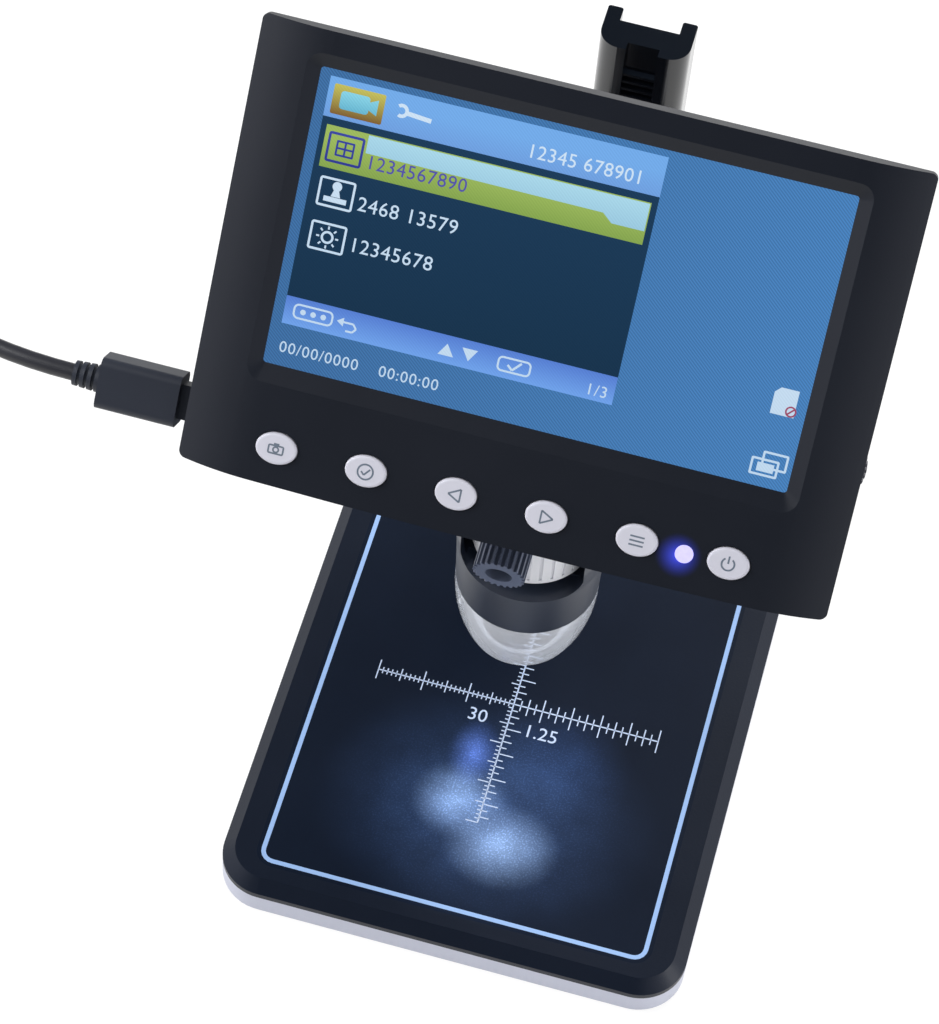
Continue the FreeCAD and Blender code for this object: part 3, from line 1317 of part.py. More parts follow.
def make_display():
    panel_low = -number(D.panel_bottom)
    panel_half = number(D.panel_width) / 2
    thick = number(D.panel_thickness)
    panel = Part.makeBox(2 * panel_half, number(D.panel_top) - panel_low, thick,
                         Vector(-panel_half, panel_low, -thick))
    node("lcd_panel", shaped("panel", panel), display_at, LEAN)

    board_top = -number(D.board_depth)
    board_half = 52.0
    board_low = -35.0
    board_height = 62.0
    board = Part.makeBox(2 * board_half, board_height, number(D.board_thickness),
                         Vector(-board_half, board_low, board_top - number(D.board_thickness)))
    wheel_x, wheel_v, wheel_w = wheel_place()
    tab = Part.makeBox(2.6, 8.0, number(D.board_thickness),
                       Vector(board_half, wheel_v - 4.0, board_top - number(D.board_thickness)))
    node("main_board", shaped("board", board.fuse(tab).removeSplitter()), display_at, LEAN)

    drop = -number(D.button_drop)
    low_board_back = -5.0
    low_board_thick = 1.2
    switch_side = 4.2
    low_board = Part.makeBox(94.0, 6.2, low_board_thick,
                             Vector(-47.4, drop - switch_side / 2, low_board_back))
    for x, v in case_screw_points():
        low_board = low_board.cut(Part.makeCylinder(2.8, low_board_thick, Vector(x, v, low_board_back)))
    node("button_board", shaped("key_board", low_board), display_at, LEAN)
    flange_w = -0.65
    flange = number(D.button_flange)
    travel = number(D.button_travel)
    contact = flange_w - flange - travel - 0.08
    switch_foot = low_board_back + low_board_thick
    switch_top = switch_foot + 0.9
    switches = []
    for i in range(len(BUTTONS)):
        body = Part.makeBox(switch_side, switch_side, switch_top - switch_foot,
                            Vector(button_x(i) - switch_side / 2, drop - switch_side / 2, switch_foot))
        stem = Part.makeCylinder(1.0, contact - switch_top, Vector(button_x(i), drop, switch_top))
        switches.append(shaped(f"switch_{i}", leaning(body.fuse(stem))))
    node("button_switches", group("switch_set", switches))
    for i, word in enumerate(BUTTONS):
        top = face_front + number(D.button_proud)
        cap = oval_face(number(D.button_length), number(D.button_height), button_x(i), drop,
                        flange_w - flange).extrude(Vector(0, 0, top - flange_w + flange))
        cap = cap.makeFillet(0.5, [e for e in cap.Edges if level(e, top)])
        plate = oval_face(number(D.button_length) + 1.6, number(D.button_height) + 0.8, button_x(i), drop,
                          flange_w - flange).extrude(Vector(0, 0, flange))
        node(f"{word}_button", shaped(f"{word}_key", cap.fuse(plate).removeSplitter()), display_at, LEAN)

    light_foot = -3.7
    light_proud = 0.15
    light = Part.makeCylinder(number(D.light_radius), face_front + light_proud - light_foot,
                              Vector(number(D.light_x), drop - number(D.light_below), light_foot))
    node("status_light", shaped("light_pipe", light), display_at, LEAN)

    thick = number(D.wheel_thickness)
    wheel = polygon(ribbed_outline(number(D.wheel_radius), 0.3, 40, 0.5), thick, -thick / 2)
    shaft_radius = 1.0
    wheel.translate(Vector(wheel_x, wheel_v, wheel_w))
    wheel = wheel.cut(Part.makeCylinder(shaft_radius + number(D.bore_clearance), thick,
                                        Vector(wheel_x, wheel_v, wheel_w - thick / 2)))
    node("brightness_wheel", shaped("wheel", wheel), display_at, LEAN)
    pot_low = board_top
    control = Part.makeCylinder(1.5, wheel_w - thick / 2 - 0.15 - pot_low, Vector(wheel_x, wheel_v, pot_low))
    control = control.fuse(Part.makeCylinder(shaft_radius, wheel_w + thick / 2 - pot_low,
                                             Vector(wheel_x, wheel_v, pot_low)))
    node("brightness_control", shaped("control", control), display_at, LEAN)

    under = board_top - number(D.board_thickness)
    battery_x = -half + number(D.bevel_depth) + number(D.housing_wall) + number(D.battery_inset)
    battery = Part.makeBox(number(D.battery_width), number(D.battery_height), number(D.battery_thickness),
                           Vector(battery_x, -25.0, -number(D.housing_back) + number(D.housing_wall)))
    battery = battery.makeFillet(1.5, [e for e in battery.Edges if upright(e)])
    node("battery", shaped("cell", battery), display_at, LEAN)

    port_v = -number(D.port_drop)
    port_w = -number(D.port_depth)
    shell_v = number(D.plug_shell_width)
    shell_w = number(D.plug_shell_height)
    socket_x = -half + number(D.bevel_depth) + number(D.housing_wall) + 0.6
    skin = number(D.socket_skin)
    socket = Part.makeBox(9.0, shell_v + 2 * skin, shell_w + 2 * skin,
                          Vector(socket_x, port_v - shell_v / 2 - skin, port_w - shell_w / 2 - skin))
    mouth = Part.makeBox(7.2, shell_v, shell_w,
                         Vector(socket_x - 0.2, port_v - shell_v / 2, port_w - shell_w / 2))
    node("usb_socket", shaped("lead_socket", socket.cut(mouth)), display_at, LEAN)
    card_v, card_w = card_place()
    holder = Part.makeBox(14.0, 14.0, under - card_w + 0.9, Vector(socket_x, card_v - 7.0, card_w - 0.9))
    slot = Part.makeBox(12.0, 11.2, 1.0, Vector(socket_x - 0.2, card_v - 5.6, card_w - 0.5))
    node("card_socket", shaped("card_holder", holder.cut(slot)), display_at, LEAN)


# Lead: near plug, free run, put-away coil and far plug


def port_point(x):
    """A point on the lead's plug axis, in the object's frame."""
    lean = math.radians(number(D.display_lean))
    v = -number(D.port_drop)
    w = -number(D.port_depth)
    y = number(display_y) + v * math.cos(lean) - w * math.sin(lean)
    z = number(D.display_z) + v * math.sin(lean) + w * math.cos(lean)
    return Vector(x, y, z)


def cord_route():
    """The free run's points, from the strain relief to the coil's first turn."""
    start_x = -(number(D.plug_body_start) + number(D.plug_body_length) + number(D.relief_length))
    start = port_point(start_x)
    end = coil_start()
    floor = number(D.cord_diameter) / 2
    return [
        start,
        start + Vector(-11.0, 0.0, 0.0),
        Vector(-113.0, -41.5, 137.0),
        Vector(-134.0, -30.0, 127.0),
        Vector(-150.0, -14.0, 105.0),
        Vector(-160.0, 2.0, 77.0),
        Vector(-166.0, 17.0, 47.0),
        Vector(-169.5, 30.0, 22.0),
        Vector(-171.5, 43.0, 5.0),
        Vector(end.x, end.y - 11.0, floor),
        end,
    ]


def coil_start():
    """Where the free run meets the coil."""
    return Vector(number(D.coil_x + D.coil_radius), number(D.coil_y - D.cord_diameter),
                  number(D.cord_diameter) / 2)


def tangent_path(points):
    """Straight runs joined by tangent arcs, each as large as its two runs allow."""
    edges = []
    last = points[0]
    radii = []
    for before, here, after in zip(points, points[1:], points[2:]):
        arrive = (here - before)
        leave = (after - here)
        shorter = min(arrive.Length, leave.Length)
        turn = arrive.getAngle(leave)
        back_off = 0.45 * shorter
        radius = back_off / math.tan(turn / 2)
        radii.append(radius)
        arrive = arrive.normalize()
        leave = leave.normalize()
        start = here - arrive * back_off
        end = here + leave * back_off
        towards = (leave - arrive).normalize()
        centre_gap = radius / math.cos(turn / 2)
        middle = here + towards * (centre_gap - radius)
        edges.append(Part.LineSegment(last, start).toShape())
        edges.append(Part.Arc(start, middle, end).toShape())
        last = end
    edges.append(Part.LineSegment(last, points[-1]).toShape())
    return Part.Wire(edges), radii


def swept(path, start, direction, radius):
    """A round tube along a path."""
    ring = Part.Wire([Part.Circle(start, direction, radius).toShape()])
    return path.makePipeShell([ring], True, False)


def half_turn(start, heading, end):
    """Two quarter arcs from one side of the coil to the other, meeting on a shared tangent."""
    reach = (end - start).Length / 2
    joint = (start + end) * 0.5 + heading * reach
    across = (end - start).normalize()
    edges = []
    for a, b, tangent in ((start, joint, heading), (joint, end, across)):
        chord = b - a
        turn = 2 * tangent.getAngle(chord)
        radius = chord.Length / (2 * math.sin(turn / 2))
        normal = tangent.cross(chord).normalize()
        inward = normal.cross(tangent).normalize()
        centre = a + inward * radius
        middle = centre + ((a + b) * 0.5 - centre).normalize() * radius
        edges.append(Part.Arc(a, middle, b).toShape())
    return edges


def coil_path():
    """The coil: in along the floor, up a layer in the half turn where it reverses, and out again."""
    x, y = number(D.coil_x), number(D.coil_y)
    pitch = number(D.coil_pitch)
    low = number(D.cord_diameter) / 2
    inward = int(number(D.coil_half_turns_in))
    outward = int(number(D.coil_half_turns_out))
    stops = [(number(D.coil_radius) - i * pitch / 2, low) for i in range(inward + 1)]
    stops.append((number(D.coil_inner), low + pitch))
    stops += [(number(D.coil_inner) + (i + 1) * pitch / 2, low + pitch) for i in range(1, outward + 1)]
    points = [Vector(x + r * (-1) ** i, y, z) for i, (r, z) in enumerate(stops)]
    start = coil_start()
    edges = [Part.LineSegment(start, points[0]).toShape()]
    for i, (a, b) in enumerate(zip(points, points[1:])):
        heading = Vector(0, (-1) ** i, 0)
        edges += half_turn(a, heading, b)
    heading = Vector(0, (-1) ** (len(points) - 1), 0)
    end = points[-1] + heading * number(D.coil_tail)
    edges.append(Part.LineSegment(points[-1], end).toShape())
    return Part.Wire(edges), end


def least_gap(path, diameter, step=1.5):
    """The least gap between turns, measured on points along the path."""
    count = int(path.Length / step)
    spots = path.discretize(count)
    least = float("inf")
    skip = int(math.pi * diameter / step) + 1
    for i, a in enumerate(spots):
        for b in spots[i + skip:]:
            least = min(least, (a - b).Length)
    return least - diameter


def make_lead():
    port_v = -number(D.port_drop)
    port_w = -number(D.port_depth)
    shell_v = number(D.plug_shell_width)
    shell_w = number(D.plug_shell_height)
    body_start = -number(D.plug_body_start)
    socket_x = -half + number(D.bevel_depth) + number(D.housing_wall) + 0.6
    shell = Part.makeBox(socket_x + 6.6 - body_start, shell_v - 0.1, shell_w - 0.1,
                         Vector(body_start, port_v - shell_v / 2 + 0.05, port_w - shell_w / 2 + 0.05))
    node("plug_shell", shaped("near_shell", shell), display_at, LEAN)
    length = number(D.plug_body_length)
    wide = number(D.plug_body_width)
    tall = number(D.plug_body_height)
    body = Part.makeBox(length, wide, tall, Vector(body_start - length, port_v - wide / 2, port_w - tall / 2))
    body = body.makeFillet(1.6, [e for e in body.Edges if abs(e.BoundBox.XLength - length) < 1e-6])
    node("plug_body", shaped("near_body", body), display_at, LEAN)
    relief_start = body_start - length - number(D.relief_length)
    cord_r = number(D.cord_diameter) / 2
    relief = Part.makeCone(number(D.relief_radius) - 0.3, number(D.relief_radius), number(D.relief_length),
                           Vector(relief_start, port_v, port_w), Vector(1, 0, 0))
    for i in range(3):
        x = relief_start + 0.8 + i * 1.4
        groove = Part.makeCylinder(4.0, 0.6, Vector(x, port_v, port_w), Vector(1, 0, 0))
        core = Part.makeCylinder(cord_r + 0.3, 0.6, Vector(x, port_v, port_w), Vector(1, 0, 0))
        relief = relief.cut(groove.cut(core))
    node("strain_relief", shaped("near_relief", relief), display_at, LEAN)

    route = cord_route()
    path, radii = tangent_path(route)
    run = swept(path, route[0], route[1] - route[0], cord_r)
    area = math.pi * cord_r ** 2
    print("free run: length", round(path.Length, 1), "radii", [round(r, 1) for r in radii])
    print("free run: volume over section times length", round(run.Volume / (area * path.Length), 5))
    node("cord_run", shaped("run", run))
    path, end = coil_path()
    coil = swept(path, coil_start(), Vector(0, 1, 0), cord_r)
    print("coil: length", round(path.Length, 1), "least gap", round(least_gap(path, 2 * cord_r), 3))
    print("coil: volume over section times length", round(coil.Volume / (area * path.Length), 5))
    node("cord_coil", shaped("coil", coil))

    make_far_plug(end)


def make_far_plug(end):
    """The plug that ends the lead, lying on the table beside the coil and pointing to the front."""
    length = number(D.far_plug_length)
    wide, tall = number(D.far_plug_width), number(D.far_plug_height)
    body = Part.makeBox(wide, length, tall, Vector(end.x - wide / 2, end.y - length, 0))
    body = body.makeFillet(1.5, [e for e in body.Edges if abs(e.BoundBox.YLength - length) < 1e-6])
    node("far_plug_body", shaped("far_body", body))
    wide, tall = number(D.far_shell_width), number(D.far_shell_height)
    reach = number(D.far_shell_length)
    middle = number(D.far_plug_height) / 2
    front = end.y - length - reach
    skin = 0.3
    shell = Part.makeBox(wide, reach, tall, Vector(end.x - wide / 2, front, middle - tall / 2))
    inside = Part.makeBox(wide - 2 * skin, reach, tall / 2 - skin,
                          Vector(end.x - wide / 2 + skin, front - 2.0, middle))
    node("far_plug_shell", shaped("far_shell", shell.cut(inside)))


make_base()
make_column()
make_carriage()
make_arm()
make_barrel()
make_focus()
make_bezel()
make_rear_cover()
make_display()
make_lead()
doc.recompute()

# Check every object, then write each sub-part
faults = [thing.Name for thing in doc.Objects if "Invalid" in thing.State or "Error" in thing.State]
if faults:
    raise RuntimeError("failed objects: " + ", ".join(faults))
os.makedirs("parts", exist_ok=True)
for label, thing in NODES.items():
    if thing.Shape.isNull() or not thing.Shape.isValid():
        raise RuntimeError("bad shape: " + label)
    thing.Shape.exportStep(os.path.join("parts", label + ".step"))
print(len(NODES), "sub-parts,", sum(len(thing.Shape.Solids) for thing in NODES.values()), "solids")
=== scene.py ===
"""The looks of a bench microscope with a display: finishes, printed scale, picture, marks and lead.

Sizes are in millimetres where a name or a field says so, and every mesh is written in metres.
"""

import logging
import math
from dataclasses import dataclass, field
from enum import Enum

import bmesh
import bpy
from mathutils import Matrix, Vector

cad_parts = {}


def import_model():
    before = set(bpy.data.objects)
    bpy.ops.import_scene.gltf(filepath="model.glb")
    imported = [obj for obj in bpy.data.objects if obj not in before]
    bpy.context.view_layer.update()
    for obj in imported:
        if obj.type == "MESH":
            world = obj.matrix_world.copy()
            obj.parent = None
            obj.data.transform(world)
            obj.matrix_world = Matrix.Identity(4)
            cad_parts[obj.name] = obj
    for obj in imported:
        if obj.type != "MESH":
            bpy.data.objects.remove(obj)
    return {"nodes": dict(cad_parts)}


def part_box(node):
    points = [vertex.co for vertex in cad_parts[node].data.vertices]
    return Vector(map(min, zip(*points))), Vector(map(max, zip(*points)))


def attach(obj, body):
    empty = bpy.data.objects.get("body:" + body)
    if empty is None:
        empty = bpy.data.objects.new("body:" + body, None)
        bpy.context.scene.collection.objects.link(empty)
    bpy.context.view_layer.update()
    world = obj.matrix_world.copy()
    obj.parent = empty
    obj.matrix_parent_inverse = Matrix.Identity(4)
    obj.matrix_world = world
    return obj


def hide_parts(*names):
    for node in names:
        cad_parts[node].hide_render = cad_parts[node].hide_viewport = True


log = logging.getLogger("microscope")
MM = 0.001
INCH = 25.4
COAT_ROUGHNESS = 0.08
# The hatch on the display: waves for each millimetre, and the upright one's share
HATCH_ACROSS = 9.2
HATCH_UP = 10.8
HATCH_UPRIGHT = 26.0
HATCH_UPRIGHT_SHARE = 0.4
# A circuit board's copper lines: cells for each metre, and the lines' share of a cell
COPPER_CELLS = 320.0
COPPER_WIDTH = 0.06
CIRCLE_STEPS = 28
ARC_STEPS = 20
CORNER_STEPS = 5
FRAME_MARGIN_MM = 3.0
TICK_SHARE = 0.85
RECESS_WIDTH_MM = 0.55
RECESS_DEPTH_MM = 0.06
PICTURE_LIFT_MM = 0.004
Colour = tuple[int, int, int]
Flat = tuple[float, float]


def linear(colour: Colour) -> tuple[float, float, float, float]:
    """Turn a written colour into the light values that the shaders use.

    Args:
        colour: Red, green and blue, each from 0 to 255.

    Returns:
        Linear red, green, blue and a full alpha.
    """
    parts = [part / 255 for part in colour]
    red, green, blue = [p / 12.92 if p <= 0.04045 else ((p + 0.055) / 1.055) ** 2.4 for p in parts]
    return (red, green, blue, 1.0)


class Side(Enum):
    """The side of a line on which its tick marks stand."""

    BOTH = 0.0
    LEFT = 1.0
    RIGHT = -1.0


class Body(Enum):
    """The moving bodies that pieces ride on."""

    BASE = "base"
    HEAD = "head"
    SNAPSHOT = "snapshot_key"
    CONFIRM = "confirm_key"
    LEFT = "left_key"
    RIGHT = "right_key"
    MENU = "menu_key"
    POWER = "power_key"


@dataclass(frozen=True)
class Plane:
    """A flat place on the object, with its own across, up and outward directions.

    Attributes:
        origin_mm: The point that is nought on the plane.
        lean_deg: How far the plane is turned back about the across direction.
        turn_deg: How far it is turned about its outward direction.
    """

    origin_mm: tuple[float, float, float]
    lean_deg: float = 0.0
    turn_deg: float = 0.0

    def matrix(self) -> Matrix:
        """The step from the plane's millimetres to the object's metres."""
        move = Matrix.Translation(Vector(self.origin_mm) * MM)
        lean = Matrix.Rotation(math.radians(self.lean_deg), 4, "X")
        turn = Matrix.Rotation(math.radians(self.turn_deg), 4, "Z")
        return move @ lean @ turn @ Matrix.Scale(MM, 4)


DISPLAY = Plane((0.0, -28.64, 175.01), lean_deg=51.1)
MAT = Plane((0.0, 0.0, 10.0))


class Nodes:
    """A short way to write a node tree."""

    def __init__(self, tree: bpy.types.NodeTree) -> None:
        """Hold the tree.

        Args:
            tree: The tree that nodes are added to.
        """
        self.tree = tree

    def add(self, kind: str, **values: object) -> bpy.types.Node:
        """Add a node.

        Args:
            kind: The node's type name.
            **values: Properties of the node.

        Returns:
            The new node.
        """
        made = self.tree.nodes.new(kind)
        for name, value in values.items():
            setattr(made, name, value)
        return made

    def join(self, source: object, target: bpy.types.NodeSocket) -> None:
        """Link a socket to an input, or set the input to a plain value.

        Args:
            source: An output socket, a number or a vector.
            target: The input.
        """
        if isinstance(source, bpy.types.NodeSocket):
            self.tree.links.new(source, target)
        else:
            target.default_value = source

    def math(self, operation: str, first: object, second: object = 0.0,
             clamp: bool = False) -> bpy.types.NodeSocket:
        """Work out a number.

        Args:
            operation: The sum's name.
            first: The first number or socket.
            second: The second number or socket.
            clamp: Whether the result is kept from 0 to 1.

        Returns:
            The result's socket.
        """
        made = self.add("ShaderNodeMath", operation=operation, use_clamp=clamp)
        self.join(first, made.inputs[0])
        self.join(second, made.inputs[1])
        return made.outputs[0]

    def mix(self, share: object, first: object, second: object,
            blend: str = "MIX") -> bpy.types.NodeSocket:
        """Mix two colours.

        Args:
            share: How much of the second is used.
            first: The first colour.
            second: The second colour.
            blend: The way in which they are mixed.

        Returns:
            The mixed colour's socket.
        """
        made = self.add("ShaderNodeMix", data_type="RGBA", blend_type=blend)
        self.join(share, made.inputs[0])
        self.join(first, made.inputs[6])
        self.join(second, made.inputs[7])
        return made.outputs[2]

    def span(self, value: object, low: object, high: object, start: float = 0.0,
             end: float = 1.0) -> bpy.types.NodeSocket:
        """Stretch a number's range, with ends that it doesn't pass.

        Args:
            value: The number.
            low: The value that becomes start.
            high: The value that becomes end.
            start: The result at low.
            end: The result at high.

        Returns:
            The result's socket.
        """
        made = self.add("ShaderNodeMapRange")
        for i, part in enumerate((value, low, high, start, end)):
            self.join(part, made.inputs[i])
        return made.outputs[0]

    def noise(self, place: object, scale: object, detail: float = 2.0) -> bpy.types.NodeSocket:
        """An uneven pattern.

        Args:
            place: The socket that gives the point.
            scale: How fine the pattern is, in spots for each metre.
            detail: How many finer layers it has.

        Returns:
            The pattern's socket.
        """
        made = self.add("ShaderNodeTexNoise")
        self.fill(made, {"Vector": place, "Scale": scale, "Detail": detail})
        return made.outputs[0]

    def fill(self, node: bpy.types.Node, values: dict[str, object]) -> None:
        """Link or set several inputs of a node.

        Args:
            node: The node.
            values: An output socket or a plain value for each input's name.
        """
        for name, value in values.items():
            self.join(value, node.inputs[name])

    def place(self) -> bpy.types.NodeSocket:
        """The point on the surface, in the object's own metres."""
        return self.add("ShaderNodeTexCoord").outputs["Object"]

    def vector(self, *parts: object) -> bpy.types.NodeSocket:
        """A vector from up to three numbers or sockets."""
        made = self.add("ShaderNodeCombineXYZ")
        for part, socket in zip(parts, made.inputs):
            self.join(part, socket)
        return made.outputs[0]

    def tinted(self, colour: object, level: object) -> bpy.types.NodeSocket:
        """A colour made lighter or darker by a level."""
        return self.mix(1.0, colour, self.vector(level, level, level), "MULTIPLY")


class SharedGroups:
    """The surface effects that several finishes use, each made once."""

    @staticmethod
    def sockets(name: str, inputs: dict[str, str], outputs: dict[str, str],
                sort: str = "ShaderNodeTree") -> tuple[Nodes, dict, dict]:
        """Start a group with named sockets.

        Args:
            name: The group's name.
            inputs: Each input's name and kind.
            outputs: Each output's name and kind.
            sort: The sort of tree that it is.

        Returns:
            The group's nodes, its inputs and its outputs.
        """
        tree = bpy.data.node_groups.new(name, sort)
        for label, kind in inputs.items():
            tree.interface.new_socket(label, in_out="INPUT", socket_type="NodeSocket" + kind)
        for label, kind in outputs.items():
            tree.interface.new_socket(label, in_out="OUTPUT", socket_type="NodeSocket" + kind)
        nodes = Nodes(tree)
        entry = nodes.add("NodeGroupInput")
        leave = nodes.add("NodeGroupOutput")
        return nodes, entry.outputs, leave.inputs

    @classmethod
    def grain(cls) -> bpy.types.NodeTree:
        """The fine grain, slow mottle and rubbed patches of a moulded or painted surface."""
        known = bpy.data.node_groups.get("SurfaceGrain")
        if known:
            return known
        inputs = {"Color": "Color", "Mottle": "Float", "Roughness": "Float", "Spread": "Float",
                  "Grain Scale": "Float", "Stretch": "Vector"}
        outputs = {"Color": "Color", "Roughness": "Float", "Height": "Float"}
        n, given, out = cls.sockets("SurfaceGrain", inputs, outputs)
        where = n.place()
        stretched = n.add("ShaderNodeVectorMath", operation="MULTIPLY")
        n.join(where, stretched.inputs[0])
        n.join(given["Stretch"], stretched.inputs[1])
        fine = n.noise(stretched.outputs[0], given["Grain Scale"], 3.0)
        slow = n.noise(where, 38.0, 4.0)
        patches = n.span(slow, 0.35, 0.65)
        uneven = n.math("MULTIPLY", n.math("SUBTRACT", patches, 0.5), given["Mottle"])
        speck = n.math("MULTIPLY", n.math("SUBTRACT", fine, 0.5), given["Mottle"])
        level = n.math("ADD", n.math("ADD", 1.0, uneven), speck)
        n.join(n.tinted(given["Color"], level), out["Color"])
        rub = n.math("MULTIPLY", n.math("SUBTRACT", slow, 0.5), given["Spread"])
        n.join(n.math("ADD", given["Roughness"], rub, clamp=True), out["Roughness"])
        n.join(fine, out["Height"])
        return n.tree

    @classmethod
    def picture(cls) -> bpy.types.NodeTree:
        """The display's light: a change from one colour to another, with fine slanting lines."""
        known = bpy.data.node_groups.get("PictureLight")
        if known:
            return known
        inputs = {"Low Color": "Color", "High Color": "Color", "From": "Float", "To": "Float",
                  "Across": "Float", "Lines": "Float"}
        n, given, out = cls.sockets("PictureLight", inputs, {"Color": "Color"})
        where = n.place()
        flat = n.add("ShaderNodeMapping", vector_type="TEXTURE")
        n.fill(flat, {"Vector": where, "Location": Vector(DISPLAY.origin_mm) * MM,
                      "Rotation": (math.radians(DISPLAY.lean_deg), 0.0, 0.0), "Scale": (MM, MM, MM)})
        parts = n.add("ShaderNodeSeparateXYZ")
        n.join(flat.outputs[0], parts.inputs[0])
        across, up = parts.outputs[0], parts.outputs[1]
        run = n.add("ShaderNodeMix", data_type="FLOAT")
        n.join(given["Across"], run.inputs[0])
        n.join(up, run.inputs[2])
        n.join(across, run.inputs[3])
        share = n.span(run.outputs[0], given["From"], given["To"])
        shade = n.mix(share, given["Low Color"], given["High Color"])
        slant = n.math("ADD", n.math("MULTIPLY", across, HATCH_ACROSS), n.math("MULTIPLY", up, HATCH_UP))
        upright = n.math("SINE", n.math("MULTIPLY", across, HATCH_UPRIGHT))
        wave = n.math("ADD", n.math("SINE", slant), n.math("MULTIPLY", upright, HATCH_UPRIGHT_SHARE))
        lines = n.math("MULTIPLY", wave, given["Lines"])
        n.join(n.tinted(shade, n.math("ADD", 1.0, lines)), out["Color"])
        return n.tree

    @classmethod
    def spot(cls) -> bpy.types.NodeTree:
        """A soft round glow about a point, strongest in its middle."""
        known = bpy.data.node_groups.get("SoftSpot")
        if known:
            return known
        inputs = {"Centre": "Vector", "Reach": "Vector", "Color": "Color", "Fall": "Float"}
        n, given, out = cls.sockets("SoftSpot", inputs, {"Color": "Color", "Mask": "Float"})
        where = n.place()
        away = n.add("ShaderNodeVectorMath", operation="SUBTRACT")
        n.join(where, away.inputs[0])
        n.join(given["Centre"], away.inputs[1])
        share = n.add("ShaderNodeVectorMath", operation="DIVIDE")
        n.join(away.outputs[0], share.inputs[0])
        n.join(given["Reach"], share.inputs[1])
        far = n.add("ShaderNodeVectorMath", operation="LENGTH")
        n.join(share.outputs[0], far.inputs[0])
        near = n.math("SUBTRACT", 1.0, far.outputs["Value"], clamp=True)
        mask = n.math("POWER", near, given["Fall"])
        n.join(mask, out["Mask"])
        n.join(n.tinted(given["Color"], mask), out["Color"])
        return n.tree


@dataclass(frozen=True)
class Glow:
    """A soft glow on a surface.

    Attributes:
        centre_mm: Its middle.
        reach_mm: How far it goes in each direction.
        colour: Its light at the middle.
        fall: How quickly it fades.
    """

    centre_mm: tuple[float, float, float]
    reach_mm: tuple[float, float, float]
    colour: Colour
    fall: float = 1.6


@dataclass(frozen=True)
class Finish:
    """A moulded, painted or rubber surface.

    Attributes:
        name: The finish's name.
        colour: Its colour.
        roughness: How matt it is.
        metallic: 1 for bare metal.
        specular: The strength of its plain reflection.
        coat: The strength of a clear coat.
        mottle: How much its colour varies.
        spread: How much its gloss varies.
        grain_scale: How fine its grain is, in spots for each metre.
        grain_depth_mm: How deep the grain is.
        stretch: The grain's length in each direction, less for longer.
        glows: Soft glows seen on it.
        sparkle: How much the glows break up into bright points.
    """

    name: str
    colour: Colour
    roughness: float = 0.5
    metallic: float = 0.0
    specular: float = 0.35
    coat: float = 0.0
    mottle: float = 0.12
    spread: float = 0.12
    grain_scale: float = 1800.0
    grain_depth_mm: float = 0.012
    stretch: tuple[float, float, float] = (1.0, 1.0, 1.0)
    glows: tuple[Glow, ...] = ()
    sparkle: float = 0.0

    def make(self) -> bpy.types.Material:
        """The finish's material, made the first time that it is asked for.

        A finish with the name of one of the part's own plain materials gets that material as it is.
        """
        known = bpy.data.materials.get(self.name)
        if known:
            return known
        material = bpy.data.materials.new(self.name)
        material.use_nodes = True
        n = Nodes(material.node_tree)
        shader = material.node_tree.nodes["Principled BSDF"]
        self.surface(n, shader)
        return material

    def surface(self, n: Nodes, shader: bpy.types.Node) -> None:
        """Set the shader's colour, gloss and grain.

        Args:
            n: The material's nodes.
            shader: Its surface shader.
        """
        grain = n.add("ShaderNodeGroup", node_tree=SharedGroups.grain())
        n.fill(grain, {"Color": linear(self.colour), "Mottle": self.mottle, "Roughness": self.roughness,
                       "Spread": self.spread, "Grain Scale": self.grain_scale, "Stretch": self.stretch})
        bump = n.add("ShaderNodeBump")
        n.fill(bump, {"Distance": self.grain_depth_mm * MM, "Height": grain.outputs["Height"]})
        n.fill(shader, {"Metallic": self.metallic, "Specular IOR Level": self.specular,
                        "Coat Weight": self.coat, "Coat Roughness": COAT_ROUGHNESS,
                        "Base Color": grain.outputs["Color"], "Roughness": grain.outputs["Roughness"],
                        "Normal": bump.outputs[0]})
        if self.glows:
            self.light(n, shader)

    def light(self, n: Nodes, shader: bpy.types.Node) -> None:
        """Add the glows to the shader's own light.

        Args:
            n: The material's nodes.
            shader: Its surface shader.
        """
        total = None
        for glow in self.glows:
            spot = n.add("ShaderNodeGroup", node_tree=SharedGroups.spot())
            n.fill(spot, {"Centre": Vector(glow.centre_mm) * MM, "Reach": Vector(glow.reach_mm) * MM,
                          "Color": linear(glow.colour), "Fall": glow.fall})
            light = spot.outputs["Color"]
            total = light if total is None else n.mix(1.0, total, light, "ADD")
        if self.sparkle:
            where = n.place()
            points = n.span(n.noise(where, 2600.0, 1.0), 0.5, 0.85, 1.0, 1.0 + self.sparkle)
            clouds = n.span(n.noise(where, 120.0, 4.0), 0.25, 0.75, 0.62, 1.25)
            total = n.tinted(total, n.math("MULTIPLY", points, clouds))
        n.fill(shader, {"Emission Color": total, "Emission Strength": 1.0})


